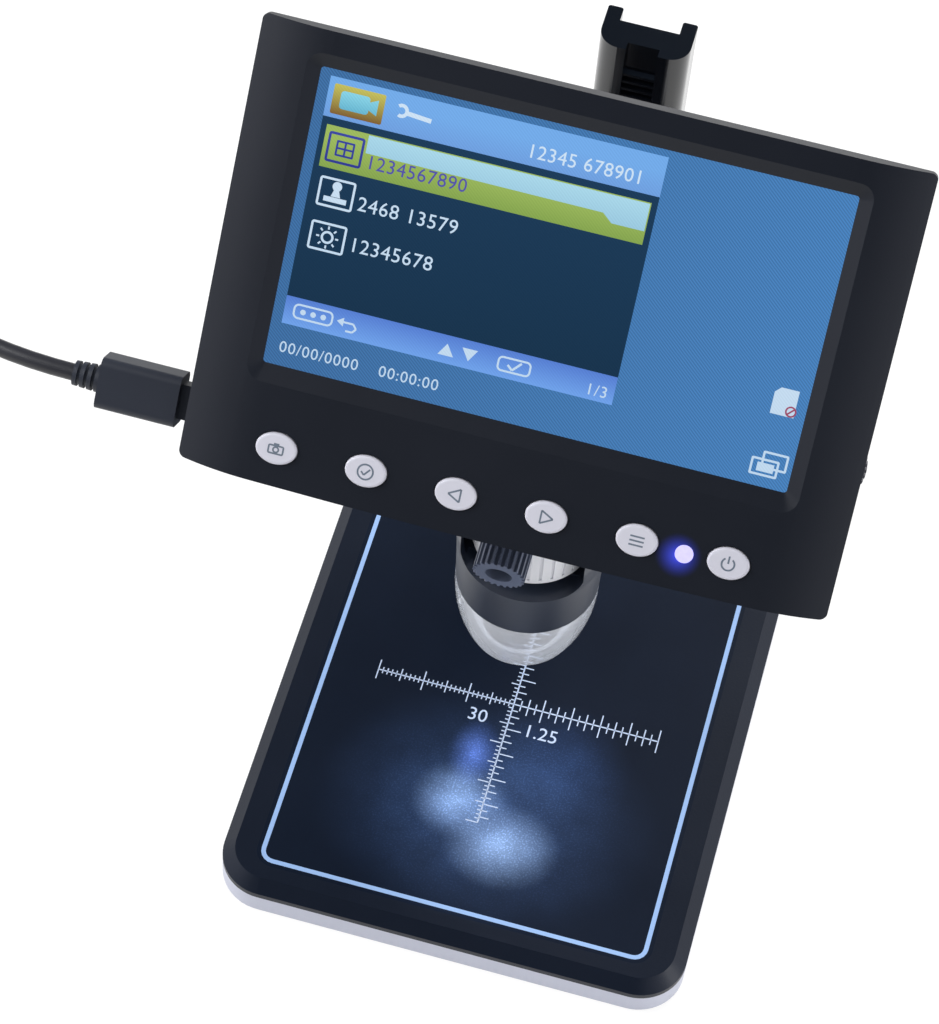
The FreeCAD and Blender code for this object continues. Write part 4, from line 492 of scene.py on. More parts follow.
@dataclass(frozen=True)
class ClearFinish(Finish):
    """Clear plastic or glass.

    Attributes:
        ior: How strongly it bends light.
        rim: A glow along its lower rim, as from light led through it.
        rim_low_mm: The height at which the glow is strongest.
        rim_high_mm: The height at which the glow ends.
    """

    ior: float = 1.45
    rim: Colour = (0, 0, 0)
    rim_low_mm: float = 0.0
    rim_high_mm: float = 1.0

    def surface(self, n: Nodes, shader: bpy.types.Node) -> None:
        """Set the shader's colour, clearness and rim light.

        Args:
            n: The material's nodes.
            shader: Its surface shader.
        """
        where = n.place()
        haze = n.noise(where, self.grain_scale, 2.0)
        rough = n.span(haze, 0.3, 0.7, self.roughness, self.roughness + self.spread)
        n.fill(shader, {"Base Color": linear(self.colour), "Transmission Weight": 1.0, "IOR": self.ior,
                        "Roughness": rough})
        if self.rim != (0, 0, 0):
            parts = n.add("ShaderNodeSeparateXYZ")
            n.join(where, parts.inputs[0])
            share = n.span(parts.outputs[2], self.rim_low_mm * MM, self.rim_high_mm * MM, 1.0, 0.0)
            share = n.math("POWER", share, 3.0)
            light = n.mix(share, (0.0, 0.0, 0.0, 1.0), linear(self.rim))
            n.fill(shader, {"Emission Color": light, "Emission Strength": 1.0})


@dataclass(frozen=True)
class LampFinish(Finish):
    """A surface that gives light.

    Attributes:
        light_colour: The colour of its light.
        strength: How strong the light is.
    """

    light_colour: Colour = (255, 255, 255)
    strength: float = 1.0

    def surface(self, n: Nodes, shader: bpy.types.Node) -> None:
        """Set the shader's surface and its light.

        Args:
            n: The material's nodes.
            shader: Its surface shader.
        """
        super().surface(n, shader)
        uneven = n.span(n.noise(n.place(), 900.0, 1.0), 0.3, 0.7, 0.9, 1.0)
        n.fill(shader, {"Emission Color": n.tinted(linear(self.light_colour), uneven),
                        "Emission Strength": self.strength})


@dataclass(frozen=True)
class PictureFinish(Finish):
    """A part of the picture on the display.

    Attributes:
        low: The colour at the start of the change.
        high: The colour at its end.
        start_mm: Where the change starts on the display.
        end_mm: Where it ends.
        across: 1 where the change runs across, 0 where it runs up.
        lines: How strong the fine slanting lines are.
    """

    low: Colour = (0, 0, 0)
    high: Colour = (0, 0, 0)
    start_mm: float = -1.0
    end_mm: float = 1.0
    across: float = 0.0
    lines: float = 0.05

    def surface(self, n: Nodes, shader: bpy.types.Node) -> None:
        """Set the shader's light from the picture.

        Args:
            n: The material's nodes.
            shader: Its surface shader.
        """
        shown = n.add("ShaderNodeGroup", node_tree=SharedGroups.picture())
        n.fill(shown, {"Low Color": linear(self.low), "High Color": linear(self.high),
                       "From": self.start_mm, "To": self.end_mm, "Across": self.across,
                       "Lines": self.lines})
        n.fill(shader, {"Base Color": linear(self.colour), "Roughness": self.roughness,
                        "Specular IOR Level": self.specular, "Emission Color": shown.outputs["Color"],
                        "Emission Strength": 1.0})


@dataclass(frozen=True)
class BoardFinish(Finish):
    """A circuit board's lacquer, with its copper lines showing through.

    Attributes:
        copper: The colour of the lines.
    """

    copper: Colour = (70, 120, 70)

    def surface(self, n: Nodes, shader: bpy.types.Node) -> None:
        """Set the shader's lacquer and lines.

        Args:
            n: The material's nodes.
            shader: Its surface shader.
        """
        super().surface(n, shader)
        cells = n.add("ShaderNodeTexVoronoi", distance="MANHATTAN", feature="DISTANCE_TO_EDGE")
        n.fill(cells, {"Vector": n.place(), "Scale": COPPER_CELLS})
        line = n.math("LESS_THAN", cells.outputs["Distance"], COPPER_WIDTH)
        n.join(n.mix(line, linear(self.colour), linear(self.copper)), shader.inputs["Base Color"])


class Drawing:
    """Flat closed pieces drawn on a plane, in its own millimetres."""

    def __init__(self, plane: Plane, low: float, high: float) -> None:
        """Start an empty drawing.

        Args:
            plane: The place that it lies on.
            low: The height of its underside over the plane.
            high: The height of its face.
        """
        self.plane = plane
        self.low = low
        self.high = high
        self.mesh = bmesh.new()

    def area(self, outline: list[Flat]) -> None:
        """A filled shape.

        Args:
            outline: Its corners, counter-clockwise.
        """
        under = [self.mesh.verts.new((x, y, self.low)) for x, y in outline]
        face = [self.mesh.verts.new((x, y, self.high)) for x, y in outline]
        self.mesh.faces.new(list(reversed(under)))
        self.mesh.faces.new(face)
        for i in range(len(outline)):
            j = (i + 1) % len(outline)
            self.mesh.faces.new((under[i], under[j], face[j], face[i]))

    def frame(self, outer: list[Flat], inner: list[Flat]) -> None:
        """A shape with a hole.

        Args:
            outer: Its outer corners, counter-clockwise.
            inner: The hole's corners, as many.
        """
        rings = []
        for outline in (outer, inner):
            for z in (self.low, self.high):
                rings.append([self.mesh.verts.new((x, y, z)) for x, y in outline])
        outer_low, outer_high, inner_low, inner_high = rings
        for i in range(len(outer)):
            j = (i + 1) % len(outer)
            self.mesh.faces.new((outer_high[i], outer_high[j], inner_high[j], inner_high[i]))
            self.mesh.faces.new((outer_low[j], outer_low[i], inner_low[i], inner_low[j]))
            self.mesh.faces.new((outer_low[i], outer_low[j], outer_high[j], outer_high[i]))
            self.mesh.faces.new((inner_low[j], inner_low[i], inner_high[i], inner_high[j]))

    def bar(self, x0: float, y0: float, x1: float, y1: float) -> None:
        """An upright rectangle between two corners."""
        self.area([(x0, y0), (x1, y0), (x1, y1), (x0, y1)])

    def line(self, start: Flat, end: Flat, width: float) -> None:
        """A straight stroke.

        Args:
            start: Where it begins.
            end: Where it ends.
            width: How wide it is.
        """
        along = Vector(end) - Vector(start)
        side = Vector((-along.y, along.x)).normalized() * width / 2
        a, b = Vector(start), Vector(end)
        self.area([tuple(a - side), tuple(b - side), tuple(b + side), tuple(a + side)])

    def path(self, points: list[Flat], width: float) -> None:
        """Strokes through several points."""
        for a, b in zip(points, points[1:]):
            self.line(a, b, width)

    def box(self, x0: float, y0: float, x1: float, y1: float, corner: float, width: float) -> None:
        """An outlined rectangle with round corners.

        Args:
            x0: Its left side.
            y0: Its lower side.
            x1: Its right side.
            y1: Its upper side.
            corner: The corners' radius.
            width: How wide the outline is.
        """
        outer = soft_rectangle(x0, y0, x1, y1, corner)
        inset = max(corner - width, 0.01)
        self.frame(outer, soft_rectangle(x0 + width, y0 + width, x1 - width, y1 - width, inset))

    def disc(self, x: float, y: float, radius: float) -> None:
        """A filled circle."""
        self.area(arc(x, y, radius, 0.0, 360.0, CIRCLE_STEPS))

    def ring(self, x: float, y: float, radius: float, width: float, start: float = 0.0,
             end: float = 360.0) -> None:
        """A round stroke, whole or in part.

        Args:
            x: Its middle across.
            y: Its middle up.
            radius: Its outer radius.
            width: How wide the stroke is.
            start: The angle where it begins.
            end: The angle where it ends.
        """
        if end - start >= 360.0:
            outer = arc(x, y, radius, 0.0, 360.0, CIRCLE_STEPS)
            self.frame(outer, arc(x, y, radius - width, 0.0, 360.0, CIRCLE_STEPS))
            return
        outer = arc(x, y, radius, start, end, ARC_STEPS, True)
        inner = arc(x, y, radius - width, start, end, ARC_STEPS, True)
        for i in range(ARC_STEPS):
            self.area([outer[i], outer[i + 1], inner[i + 1], inner[i]])

    def figures(self, words: str, x: float, y: float, size: float, spacing: float = 1.0) -> None:
        """Plain figures.

        Args:
            words: The figures.
            x: Where they begin.
            y: Their foot line.
            size: Their size.
            spacing: How far apart they stand.
        """
        curve = bpy.data.curves.new("figures", "FONT")
        curve.body = words
        curve.size = size
        curve.space_character = spacing
        curve.extrude = (self.high - self.low) / 2
        curve.resolution_u = 3
        holder = bpy.data.objects.new("figures", curve)
        mesh = bpy.data.meshes.new_from_object(holder)
        mesh.transform(Matrix.Translation((x, y, (self.low + self.high) / 2)))
        self.mesh.from_mesh(mesh)
        bpy.data.meshes.remove(mesh)
        bpy.data.objects.remove(holder)
        bpy.data.curves.remove(curve)

    def take(self, mesh: bpy.types.Mesh, turn_deg: float, x: float, y: float) -> None:
        """Add a mesh that was made elsewhere.

        Args:
            mesh: The mesh, lying along the across direction.
            turn_deg: How far it is turned.
            x: Where its start goes, across.
            y: Where its start goes, up.
        """
        move = Matrix.Translation((x, y, (self.low + self.high) / 2))
        mesh.transform(move @ Matrix.Rotation(math.radians(turn_deg), 4, "Z"))
        self.mesh.from_mesh(mesh)
        bpy.data.meshes.remove(mesh)

    def piece(self, name: str, body: Body, finish: Finish) -> bpy.types.Object:
        """Turn the drawing into a piece of the object.

        Args:
            name: The piece's name.
            body: The body that it rides on.
            finish: Its finish.

        Returns:
            The new object.
        """
        bmesh.ops.remove_doubles(self.mesh, verts=self.mesh.verts, dist=1e-5)
        bmesh.ops.recalc_face_normals(self.mesh, faces=self.mesh.faces)
        self.mesh.transform(self.plane.matrix())
        mesh = bpy.data.meshes.new(name)
        self.mesh.to_mesh(mesh)
        self.mesh.free()
        return show(name, mesh, body, finish)


def arc(x: float, y: float, radius: float, start: float, end: float, steps: int,
        both: bool = False) -> list[Flat]:
    """Points along a part of a circle.

    Args:
        x: Its middle across.
        y: Its middle up.
        radius: Its radius.
        start: The first angle in degrees.
        end: The last angle.
        steps: How many steps there are.
        both: Whether the last point is kept too.

    Returns:
        The points in order.
    """
    count = steps + 1 if both else steps
    angles = [math.radians(start + (end - start) * i / steps) for i in range(count)]
    return [(x + radius * math.cos(a), y + radius * math.sin(a)) for a in angles]


def soft_rectangle(x0: float, y0: float, x1: float, y1: float, radius: float) -> list[Flat]:
    """The outline of a rectangle with round corners, counter-clockwise.

    Args:
        x0: Its left side.
        y0: Its lower side.
        x1: Its right side.
        y1: Its upper side.
        radius: The corners' radius.

    Returns:
        The outline's points.
    """
    centres = ((x1, y1, 0.0, -1, -1), (x0, y1, 90.0, 1, -1),
               (x0, y0, 180.0, 1, 1), (x1, y0, 270.0, -1, 1))
    points = []
    for x, y, start, in_x, in_y in centres:
        points += arc(x + in_x * radius, y + in_y * radius, radius, start, start + 90.0, CORNER_STEPS, True)
    return points


def stand(name: str, data: bpy.types.ID) -> bpy.types.Object:
    """Put a new object that holds a mesh, curve, lamp or camera into the scene."""
    made = bpy.data.objects.new(name, data)
    bpy.context.collection.objects.link(made)
    return made


class Repeat:
    """Geometry Nodes trees for what repeats."""

    @staticmethod
    def tree(name: str, inputs: dict[str, str]) -> tuple[Nodes, dict, bpy.types.NodeSocket]:
        """Start a tree with named inputs.

        Args:
            name: The tree's name.
            inputs: Each input's name and kind.

        Returns:
            The tree's nodes, its inputs and the socket for its result.
        """
        shape = {"Geometry": "Geometry"}
        n, given, out = SharedGroups.sockets(name, shape | inputs, shape, "GeometryNodeTree")
        return n, given, out[0]

    @staticmethod
    def end(n: Nodes, instances: bpy.types.NodeSocket, material: bpy.types.NodeSocket,
            out: bpy.types.NodeSocket) -> None:
        """Close a tree: the copies become one mesh with its material.

        Args:
            n: The tree's nodes.
            instances: The copies.
            material: The material's input.
            out: The tree's result.
        """
        real = n.add("GeometryNodeRealizeInstances")
        n.join(instances, real.inputs[0])
        dressed = n.add("GeometryNodeSetMaterial")
        n.fill(dressed, {"Geometry": real.outputs[0], "Material": material})
        n.join(dressed.outputs[0], out)

    @staticmethod
    def result(tree: bpy.types.NodeTree, points: list[Vector], values: dict[str, object]) -> bpy.types.Mesh:
        """Run a tree and keep its result as a plain mesh.

        Args:
            tree: The tree.
            points: The points that it starts from.
            values: The tree's inputs by name.

        Returns:
            The mesh.
        """
        seed = bpy.data.meshes.new("seed")
        seed.from_pydata([tuple(p) for p in points], [], [])
        holder = stand("seed", seed)
        modifier = holder.modifiers.new("repeat", "NODES")
        modifier.node_group = tree
        for item in tree.interface.items_tree:
            if item.in_out == "INPUT" and item.name in values:
                modifier[item.identifier] = values[item.name]
        bpy.context.view_layer.update()
        shown = holder.evaluated_get(bpy.context.evaluated_depsgraph_get())
        mesh = bpy.data.meshes.new_from_object(shown)
        holder.modifiers.remove(modifier)
        bpy.data.objects.remove(holder)
        bpy.data.meshes.remove(seed)
        return mesh

    @classmethod
    def ticks(cls) -> bpy.types.NodeTree:
        """A row of tick marks of three lengths along a line."""
        known = bpy.data.node_groups.get("TickRow")
        if known:
            return known
        inputs = {"Count": "Int", "Pitch": "Float", "Short": "Float", "Middle": "Float", "Long": "Float",
                  "Middle Every": "Float", "Long Every": "Float", "Width": "Float", "Depth": "Float",
                  "Side": "Float", "Material": "Material"}
        n, given, out = cls.tree("TickRow", inputs)
        step = n.vector(given["Pitch"])
        row = n.add("GeometryNodeMeshLine", mode="OFFSET")
        n.fill(row, {"Count": given["Count"], "Start Location": step, "Offset": step})
        place = n.math("ADD", n.add("GeometryNodeInputIndex").outputs[0], 1.0)
        length = given["Short"]
        for every, size in (("Middle Every", "Middle"), ("Long Every", "Long")):
            due = n.math("LESS_THAN", n.math("MODULO", place, given[every]), 0.5)
            change = n.math("MULTIPLY", n.math("SUBTRACT", given[size], length), due)
            length = n.math("ADD", length, change)
        shift = n.math("MULTIPLY", n.math("MULTIPLY", length, 0.5), given["Side"])
        moved = n.add("GeometryNodeSetPosition")
        n.fill(moved, {"Geometry": row.outputs[0], "Offset": n.vector(0.0, shift)})
        cube = n.add("GeometryNodeMeshCube")
        copies = n.add("GeometryNodeInstanceOnPoints")
        n.fill(copies, {"Points": moved.outputs[0], "Instance": cube.outputs[0],
                        "Scale": n.vector(given["Width"], length, given["Depth"])})
        cls.end(n, copies.outputs[0], given["Material"], out)
        return n.tree

    @classmethod
    def domes(cls) -> bpy.types.NodeTree:
        """Small round lamp domes, one on each given point."""
        known = bpy.data.node_groups.get("LampDomes")
        if known:
            return known
        n, given, out = cls.tree("LampDomes", {"Radius": "Float", "Height": "Float", "Material": "Material"})
        ball = n.add("GeometryNodeMeshUVSphere")
        n.fill(ball, {"Segments": 16, "Rings": 8, "Radius": given["Radius"]})
        copies = n.add("GeometryNodeInstanceOnPoints")
        n.fill(copies, {"Points": given["Geometry"], "Instance": ball.outputs[0],
                        "Scale": n.vector(1.0, 1.0, given["Height"])})
        cls.end(n, copies.outputs[0], given["Material"], out)
        return n.tree

    @classmethod
    def crosses(cls) -> bpy.types.NodeTree:
        """Thin dark crosses on screw heads, one on each given point: painted shade where each head's cross
        recess is.
        """
        known = bpy.data.node_groups.get("PaintedShadeCross")
        if known:
            return known
        inputs = {"Reach": "Float", "Width": "Float", "Depth": "Float", "Facing": "Vector",
                  "Material": "Material"}
        n, given, out = cls.tree("PaintedShadeCross", inputs)
        both = n.add("GeometryNodeJoinGeometry")
        for long_way, short_way in (("Reach", "Width"), ("Width", "Reach")):
            arm = n.add("GeometryNodeMeshCube")
            n.fill(arm, {"Size": n.vector(given[long_way], given[short_way], given["Depth"])})
            n.join(arm.outputs[0], both.inputs[0])
        turn = n.add("FunctionNodeAlignRotationToVector", axis="Z")
        n.join(given["Facing"], turn.inputs["Vector"])
        copies = n.add("GeometryNodeInstanceOnPoints")
        n.fill(copies, {"Points": given["Geometry"], "Instance": both.outputs[0],
                        "Rotation": turn.outputs[0]})
        cls.end(n, copies.outputs[0], given["Material"], out)
        return n.tree


def show(name: str, mesh: bpy.types.Mesh, body: Body, finish: Finish) -> bpy.types.Object:
    """Make a piece of the object from a mesh that is already in its place.

    Args:
        name: The piece's name.
        mesh: Its mesh, in metres.
        body: The body that it rides on.
        finish: Its finish.

    Returns:
        The new object.
    """
    mesh.name = name
    if not mesh.materials:
        mesh.materials.append(finish.make())
    made = stand(name, mesh)
    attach(made, body.value)
    log.info("piece %s, %d faces", name, len(mesh.polygons))
    return made


@dataclass
class Assembly:
    """A sub-assembly of the microscope: its solids' finishes and the pieces that the scene adds.

    Attributes:
        finishes: The finish of each of its solids, by node name.
    """

    finishes: dict[str, Finish] = field(default_factory=dict)

    def dress(self, nodes: dict[str, bpy.types.Object]) -> None:
        """Give every solid its finish.

        Args:
            nodes: The part's solids by name.
        """
        for name, finish in self.finishes.items():
            for slot in nodes[name].material_slots:
                slot.material = finish.make()
            log.info("solid %s wears %s", name, finish.name)

    def build(self) -> None:
        """Make the sub-assembly's own pieces, where it has any."""


BASE_BLACK = Finish("base_satin_black", (13, 21, 35), 0.36, specular=0.24, grain_depth_mm=0.02)
TRAY_GREY = Finish("tray_pale_grey", (196, 199, 214), 0.42, specular=0.4, mottle=0.05)
FOOT_RUBBER = Finish("foot_rubber", (24, 25, 27), 0.85, specular=0.2, grain_depth_mm=0.04)
SCREW_STEEL = Finish("screw_steel", (150, 152, 158), 0.3, metallic=1.0, stretch=(1.0, 1.0, 0.1))
# Painted shade: the near-black colour of the thin crosses that stand for the shade inside the screw heads'
# cross recesses.
PAINTED_RECESS_SHADE = Finish("screw_recess", (16, 16, 18), 0.7, specular=0.1)
BALLAST_IRON = Finish("ballast_iron", (96, 97, 100), 0.6, metallic=0.8, mottle=0.3, grain_depth_mm=0.06)
COLUMN_GLOSS = Finish("column_gloss_black", (7, 10, 16), 0.16, specular=0.5, coat=0.4, mottle=0.05,
                      stretch=(1.0, 1.0, 0.02), grain_depth_mm=0.004)
CARRIAGE_BLACK = Finish("carriage_black", (17, 18, 23), 0.42)
PAD_NYLON = Finish("pad_nylon", (205, 205, 198), 0.6)
GEAR_BRASS = Finish("gear_brass", (196, 160, 86), 0.3, metallic=1.0)
SHAFT_STEEL = Finish("shaft_steel", (170, 172, 178), 0.2, metallic=1.0, stretch=(0.02, 1.0, 1.0))
KNOB_BLACK = Finish("knob_black", (20, 21, 25), 0.5, grain_depth_mm=0.03)
BARREL_SATIN = Finish("barrel_satin_grey", (30, 38, 54), 0.36, specular=0.65, mottle=0.06,
                      grain_depth_mm=0.004)
CAP_CLEAR = ClearFinish("cap_clear", (140, 172, 234), 0.01, spread=0.03, grain_scale=60.0, ior=1.24,
                        rim=(150, 186, 232), rim_low_mm=49.2, rim_high_mm=51.6)
BOARD_WHITE = Finish("board_white_lacquer", (214, 218, 226), 0.4)
CHIP_LIGHT = LampFinish("chip_light", (240, 240, 220), light_colour=(225, 236, 255), strength=3.4)
RING_WHITE = Finish("ring_white", (206, 213, 230), 0.34, specular=0.45, mottle=0.05)
ROLLER_GREY = Finish("roller_grey", (84, 92, 112), 0.34, specular=0.5)
BRACKET_BLACK = Finish("bracket_black", (14, 16, 20), 0.5)
CARRIER_BLACK = Finish("carrier_black", (12, 12, 14), 0.6)
LENS_GLASS = ClearFinish("lens_glass", (238, 242, 255), 0.0, spread=0.01, ior=1.52)
BOARD_GREEN = BoardFinish("board_green_lacquer", (22, 74, 44), 0.35)
CHIP_BLACK = Finish("chip_black", (16, 16, 20), 0.4)
RIBBON_ORANGE = Finish("ribbon_orange", (190, 110, 40), 0.35)
HALO = (Glow((31.9, -56.0, 142.6), (4.4, 4.4, 4.4), (70, 84, 255), 1.9),)
BEZEL_BLACK = Finish("bezel_soft_black", (16, 20, 29), 0.44, specular=0.3, mottle=0.1,
                     grain_scale=2600.0, grain_depth_mm=0.01, glows=HALO)
COVER_BLACK = Finish("cover_soft_black", (18, 21, 29), 0.46, specular=0.3, grain_scale=2600.0)
SWITCH_BLACK = Finish("switch_black", (18, 18, 20), 0.45)
BUTTON_GREY = Finish("button_grey", (114, 126, 140), 0.5, specular=0.3, mottle=0.06, grain_depth_mm=0.006)
MARK_GREY = Finish("button_mark_grey", (106, 117, 131), 0.55, specular=0.2, mottle=0.02)
STATUS_LIGHT = LampFinish("status_light_violet", (140, 140, 220), light_colour=(206, 196, 255), strength=0.85)
WHEEL_GREY = Finish("wheel_grey", (44, 46, 54), 0.5, grain_depth_mm=0.03)
BATTERY_WRAP = Finish("battery_wrap", (60, 96, 150), 0.35)
SOCKET_STEEL = Finish("socket_steel", (158, 160, 166), 0.28, metallic=1.0)
CORD_BLACK = Finish("cord_black", (34, 38, 48), 0.5, specular=0.35, mottle=0.1, grain_depth_mm=0.02)
PLUG_BLACK = Finish("plug_black", (36, 40, 50), 0.46, specular=0.4, mottle=0.08, grain_depth_mm=0.015)
PRINT_WHITE = Finish("print_pale_blue", (186, 202, 230), 0.5, mottle=0.08)
PRINT_BLUE = Finish("print_line_blue", (146, 178, 224), 0.5, mottle=0.08)
MAT_GLOWS = (
    Glow((1.0, -42.0, 10.0), (38.0, 31.0, 20.0), (56, 80, 124), 1.7),
    Glow((-5.0, -41.0, 10.0), (11.0, 10.0, 12.0), (146, 178, 228), 1.6),
    Glow((6.0, -49.0, 10.0), (13.0, 11.0, 12.0), (150, 180, 226), 1.6),
    Glow((-5.0, -29.0, 10.0), (6.0, 9.0, 9.0), (92, 124, 214), 1.7),
    Glow((13.0, -27.0, 10.0), (16.0, 16.0, 10.0), (34, 54, 92), 1.5),
)
MAT_FACE = Finish("mat_dark_blue", (11, 21, 37), 0.4, specular=0.14, mottle=0.2, grain_scale=1200.0,
                  glows=MAT_GLOWS, sparkle=1.2)


def picture(name: str, low: Colour, high: Colour, start: float, end: float, across: float = 0.0,
            lines: float = 0.05) -> PictureFinish:
    """A finish for a part of the display's picture.

    Args:
        name: The finish's name.
        low: The colour at the start.
        high: The colour at the end.
        start: Where the change starts, in millimetres on the display.
        end: Where it ends.
        across: 1 where the change runs across.
        lines: How strong the slanting lines are.

    Returns:
        The finish.
    """
    return PictureFinish("picture_" + name, (4, 5, 8), 0.4, specular=0.15, low=low, high=high,
                         start_mm=start, end_mm=end, across=across, lines=lines)


FIELD_BLUE = picture("field_blue", (60, 108, 160), (70, 126, 184), -40.0, 47.0, 1.0, 0.2)
TITLE_BLUE = picture("title_blue", (110, 158, 222), (114, 170, 232), 18.6, 23.0)
PANEL_DARK = picture("panel_dark", (16, 48, 74), (22, 56, 86), -14.0, 18.0, 0.0, 0.07)
ROW_BRIGHT = picture("row_bright", (150, 196, 220), (168, 214, 232), 11.0, 17.0, 0.0, 0.04)
ROW_YELLOW = picture("row_yellow", (128, 160, 74), (156, 184, 92), 9.0, 15.0, 0.0, 0.05)
FOOT_BLUE = picture("foot_blue", (110, 160, 232), (84, 124, 208), -19.0, -14.0, 0.0, 0.05)
PALE = picture("pale", (190, 214, 236), (206, 226, 244), -26.0, 26.0, 0.0, 0.04)
VIOLET = picture("violet", (74, 74, 158), (86, 84, 168), -26.0, 26.0)
ICON_BLUE = picture("icon_blue", (44, 52, 140), (60, 70, 160), 10.0, 17.0)
ICON_DARK = picture("icon_dark", (20, 52, 84), (28, 66, 102), -5.0, 9.0)
ICON_YELLOW = picture("icon_yellow", (126, 92, 46), (196, 190, 92), 19.3, 24.6)
ICON_CYAN = picture("icon_cyan", (96, 176, 204), (140, 214, 232), 20.0, 24.0)
ICON_RED = picture("icon_red", (150, 70, 100), (170, 84, 112), -14.0, -9.0)


@dataclass
class Base(Assembly):
    """The base: its cover, tray, feet and the printed measuring mat.

    Attributes:
        frame_half: Half the width of the printed frame.
        frame_front: The frame's front line.
        frame_back: The frame's back line.
        frame_corner: The frame's corner radius.
        frame_width: The width of its line.
        cross: The middle of the printed cross.
        arm: The length of the arms in millimetres.
        inch_arm: The length of the arm in inches.
        stroke: The width of the cross's lines.
        ink: How thick the print is.
    """

    frame_half: float = 41.3
    frame_front: float = -66.55
    frame_back: float = 62.0
    frame_corner: float = 3.0
    frame_width: float = 0.95
    cross: Flat = (0.0, -15.0)
    arm: float = 30.0
    inch_arm: float = 31.75
    stroke: float = 0.3
    ink: float = 0.03

    def build(self) -> None:
        """Print the mat and mark the screw heads."""
        mat_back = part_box("scale_mat")[1][1] / MM
        back = min(self.frame_back, mat_back - FRAME_MARGIN_MM)
        print_ = Drawing(MAT, 0.0, self.ink)
        half, width = self.frame_half, self.frame_width
        outer = soft_rectangle(-half, self.frame_front, half, back, self.frame_corner)
        inner = soft_rectangle(-half + width, self.frame_front + width, half - width, back - width,
                               self.frame_corner - width)
        print_.frame(outer, inner)
        print_.piece("mat_frame_line", Body.BASE, PRINT_BLUE)
        self.scale()
        mark_screws("base_screws", Body.BASE, (0.0, 0.0, -1.0))
        mark_screws("column_screws", Body.BASE, (0.0, 0.0, -1.0))

    def scale(self) -> None:
        """The cross with its millimetre and inch scales and plain figures."""
        drawing = Drawing(MAT, 0.0, self.ink)
        x, y = self.cross
        drawing.line((x - self.arm, y), (x + self.inch_arm, y), self.stroke)
        drawing.line((x, y - self.arm), (x, y + self.arm), self.stroke)
        sixteenth = INCH / 16
        whole = int(self.arm)
        down = int(self.arm / sixteenth)
        rows = (
            (180.0, whole, 1.0, (1.55, 3.0, 4.8), (5.0, 10.0), Side.BOTH),
            (0.0, round(self.inch_arm / sixteenth), sixteenth, (2.6, 4.1, 5.7), (2.0, 4.0), Side.BOTH),
            (-90.0, whole, 1.0, (0.9, 1.8, 2.6), (5.0, 10.0), Side.RIGHT),
            (-90.0, down, sixteenth, (1.3, 2.0, 3.2), (2.0, 4.0), Side.LEFT),
            (90.0, whole, 1.0, (0.9, 1.8, 2.6), (5.0, 10.0), Side.LEFT),
            (90.0, down, sixteenth, (1.3, 2.0, 3.2), (2.0, 4.0), Side.RIGHT),
        )
        for turn, count, pitch, lengths, every, side in rows:
            values = {"Count": count, "Pitch": pitch, "Short": lengths[0], "Middle": lengths[1],
                      "Long": lengths[2], "Middle Every": every[0], "Long Every": every[1],
                      "Width": self.stroke * TICK_SHARE, "Depth": self.ink, "Side": side.value,
                      "Material": PRINT_WHITE.make()}
            mesh = Repeat.result(Repeat.ticks(), [Vector()], values)
            drawing.take(mesh, turn, x, y)
        drawing.figures("30", x - 8.9, y - 6.2, 4.4)
        drawing.figures("1.25", x + 3.6, y - 7.0, 4.4)
        drawing.piece("mat_scale_print", Body.BASE, PRINT_WHITE)


def heads(name: str, facing: Vector) -> list[Vector]:
    """The middle of each screw head's face.

    Args:
        name: The node that holds the screws.
        facing: The direction in which the heads face.

    Returns:
        One point for each screw, in metres.
    """
    work = bmesh.new()
    work.from_mesh(frame["nodes"][name].data)
    bmesh.ops.remove_doubles(work, verts=work.verts, dist=1e-6)
    left = set(work.verts)
    found = []
    while left:
        group = [left.pop()]
        for vert in group:
            for edge in vert.link_edges:
                other = edge.other_vert(vert)
                if other in left:
                    left.discard(other)
                    group.append(other)
        top = max(v.co.dot(facing) for v in group)
        face = [v.co for v in group if v.co.dot(facing) > top - 1e-5]
        found.append(sum((c.copy() for c in face), Vector()) / len(face))
    work.free()
    return found


def mark_screws(name: str, body: Body, facing: tuple[float, float, float], reach: float = 2.6) -> None:
    """Put a thin dark cross on each screw head of a node: painted shade where its cross recess is.

    Args:
        name: The node that holds the screws.
        body: The body that they ride on.
        facing: The direction in which the heads face.
        reach: The cross's length in millimetres.
    """
    way = Vector(facing).normalized()
    values = {"Reach": reach * MM, "Width": RECESS_WIDTH_MM * MM, "Depth": RECESS_DEPTH_MM * MM,
              "Facing": way, "Material": PAINTED_RECESS_SHADE.make()}
    mesh = Repeat.result(Repeat.crosses(), heads(name, way), values)
    show(name + "_recess", mesh, body, PAINTED_RECESS_SHADE)


@dataclass
class Carriage(Assembly):
    """The carriage on the column, its arm, gear and height knobs."""

    def build(self) -> None:
        """Mark the screw heads."""
        mark_screws("carriage_screws", Body.HEAD, (0.0, 1.0, 0.0))
        mark_screws("friction_screw", Body.HEAD, (0.0, 1.0, 0.0))


@dataclass
class Barrel(Assembly):
    """The lens barrel with its clear light cap.

    Attributes:
        ring_radius: The radius on which the light chips sit.
        dome_radius: The radius of a chip's dome.
        count: How many chips there are.
    """

    ring_radius: float = 9.3
    dome_radius: float = 0.75
    count: int = 8

    def build(self) -> None:
        """Put a dome on each light chip."""
        lo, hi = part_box("light_chips")
        middle = Vector(((lo[0] + hi[0]) / 2, (lo[1] + hi[1]) / 2, lo[2]))
        turns = [2 * math.pi * i / self.count for i in range(self.count)]
        radius = self.ring_radius * MM
        points = [middle + Vector((math.cos(t), math.sin(t), 0.0)) * radius for t in turns]
        values = {"Radius": self.dome_radius * MM, "Height": 0.7, "Material": CHIP_LIGHT.make()}
        mesh = Repeat.result(Repeat.domes(), points, values)
        show("light_chip_domes", mesh, Body.HEAD, CHIP_LIGHT)


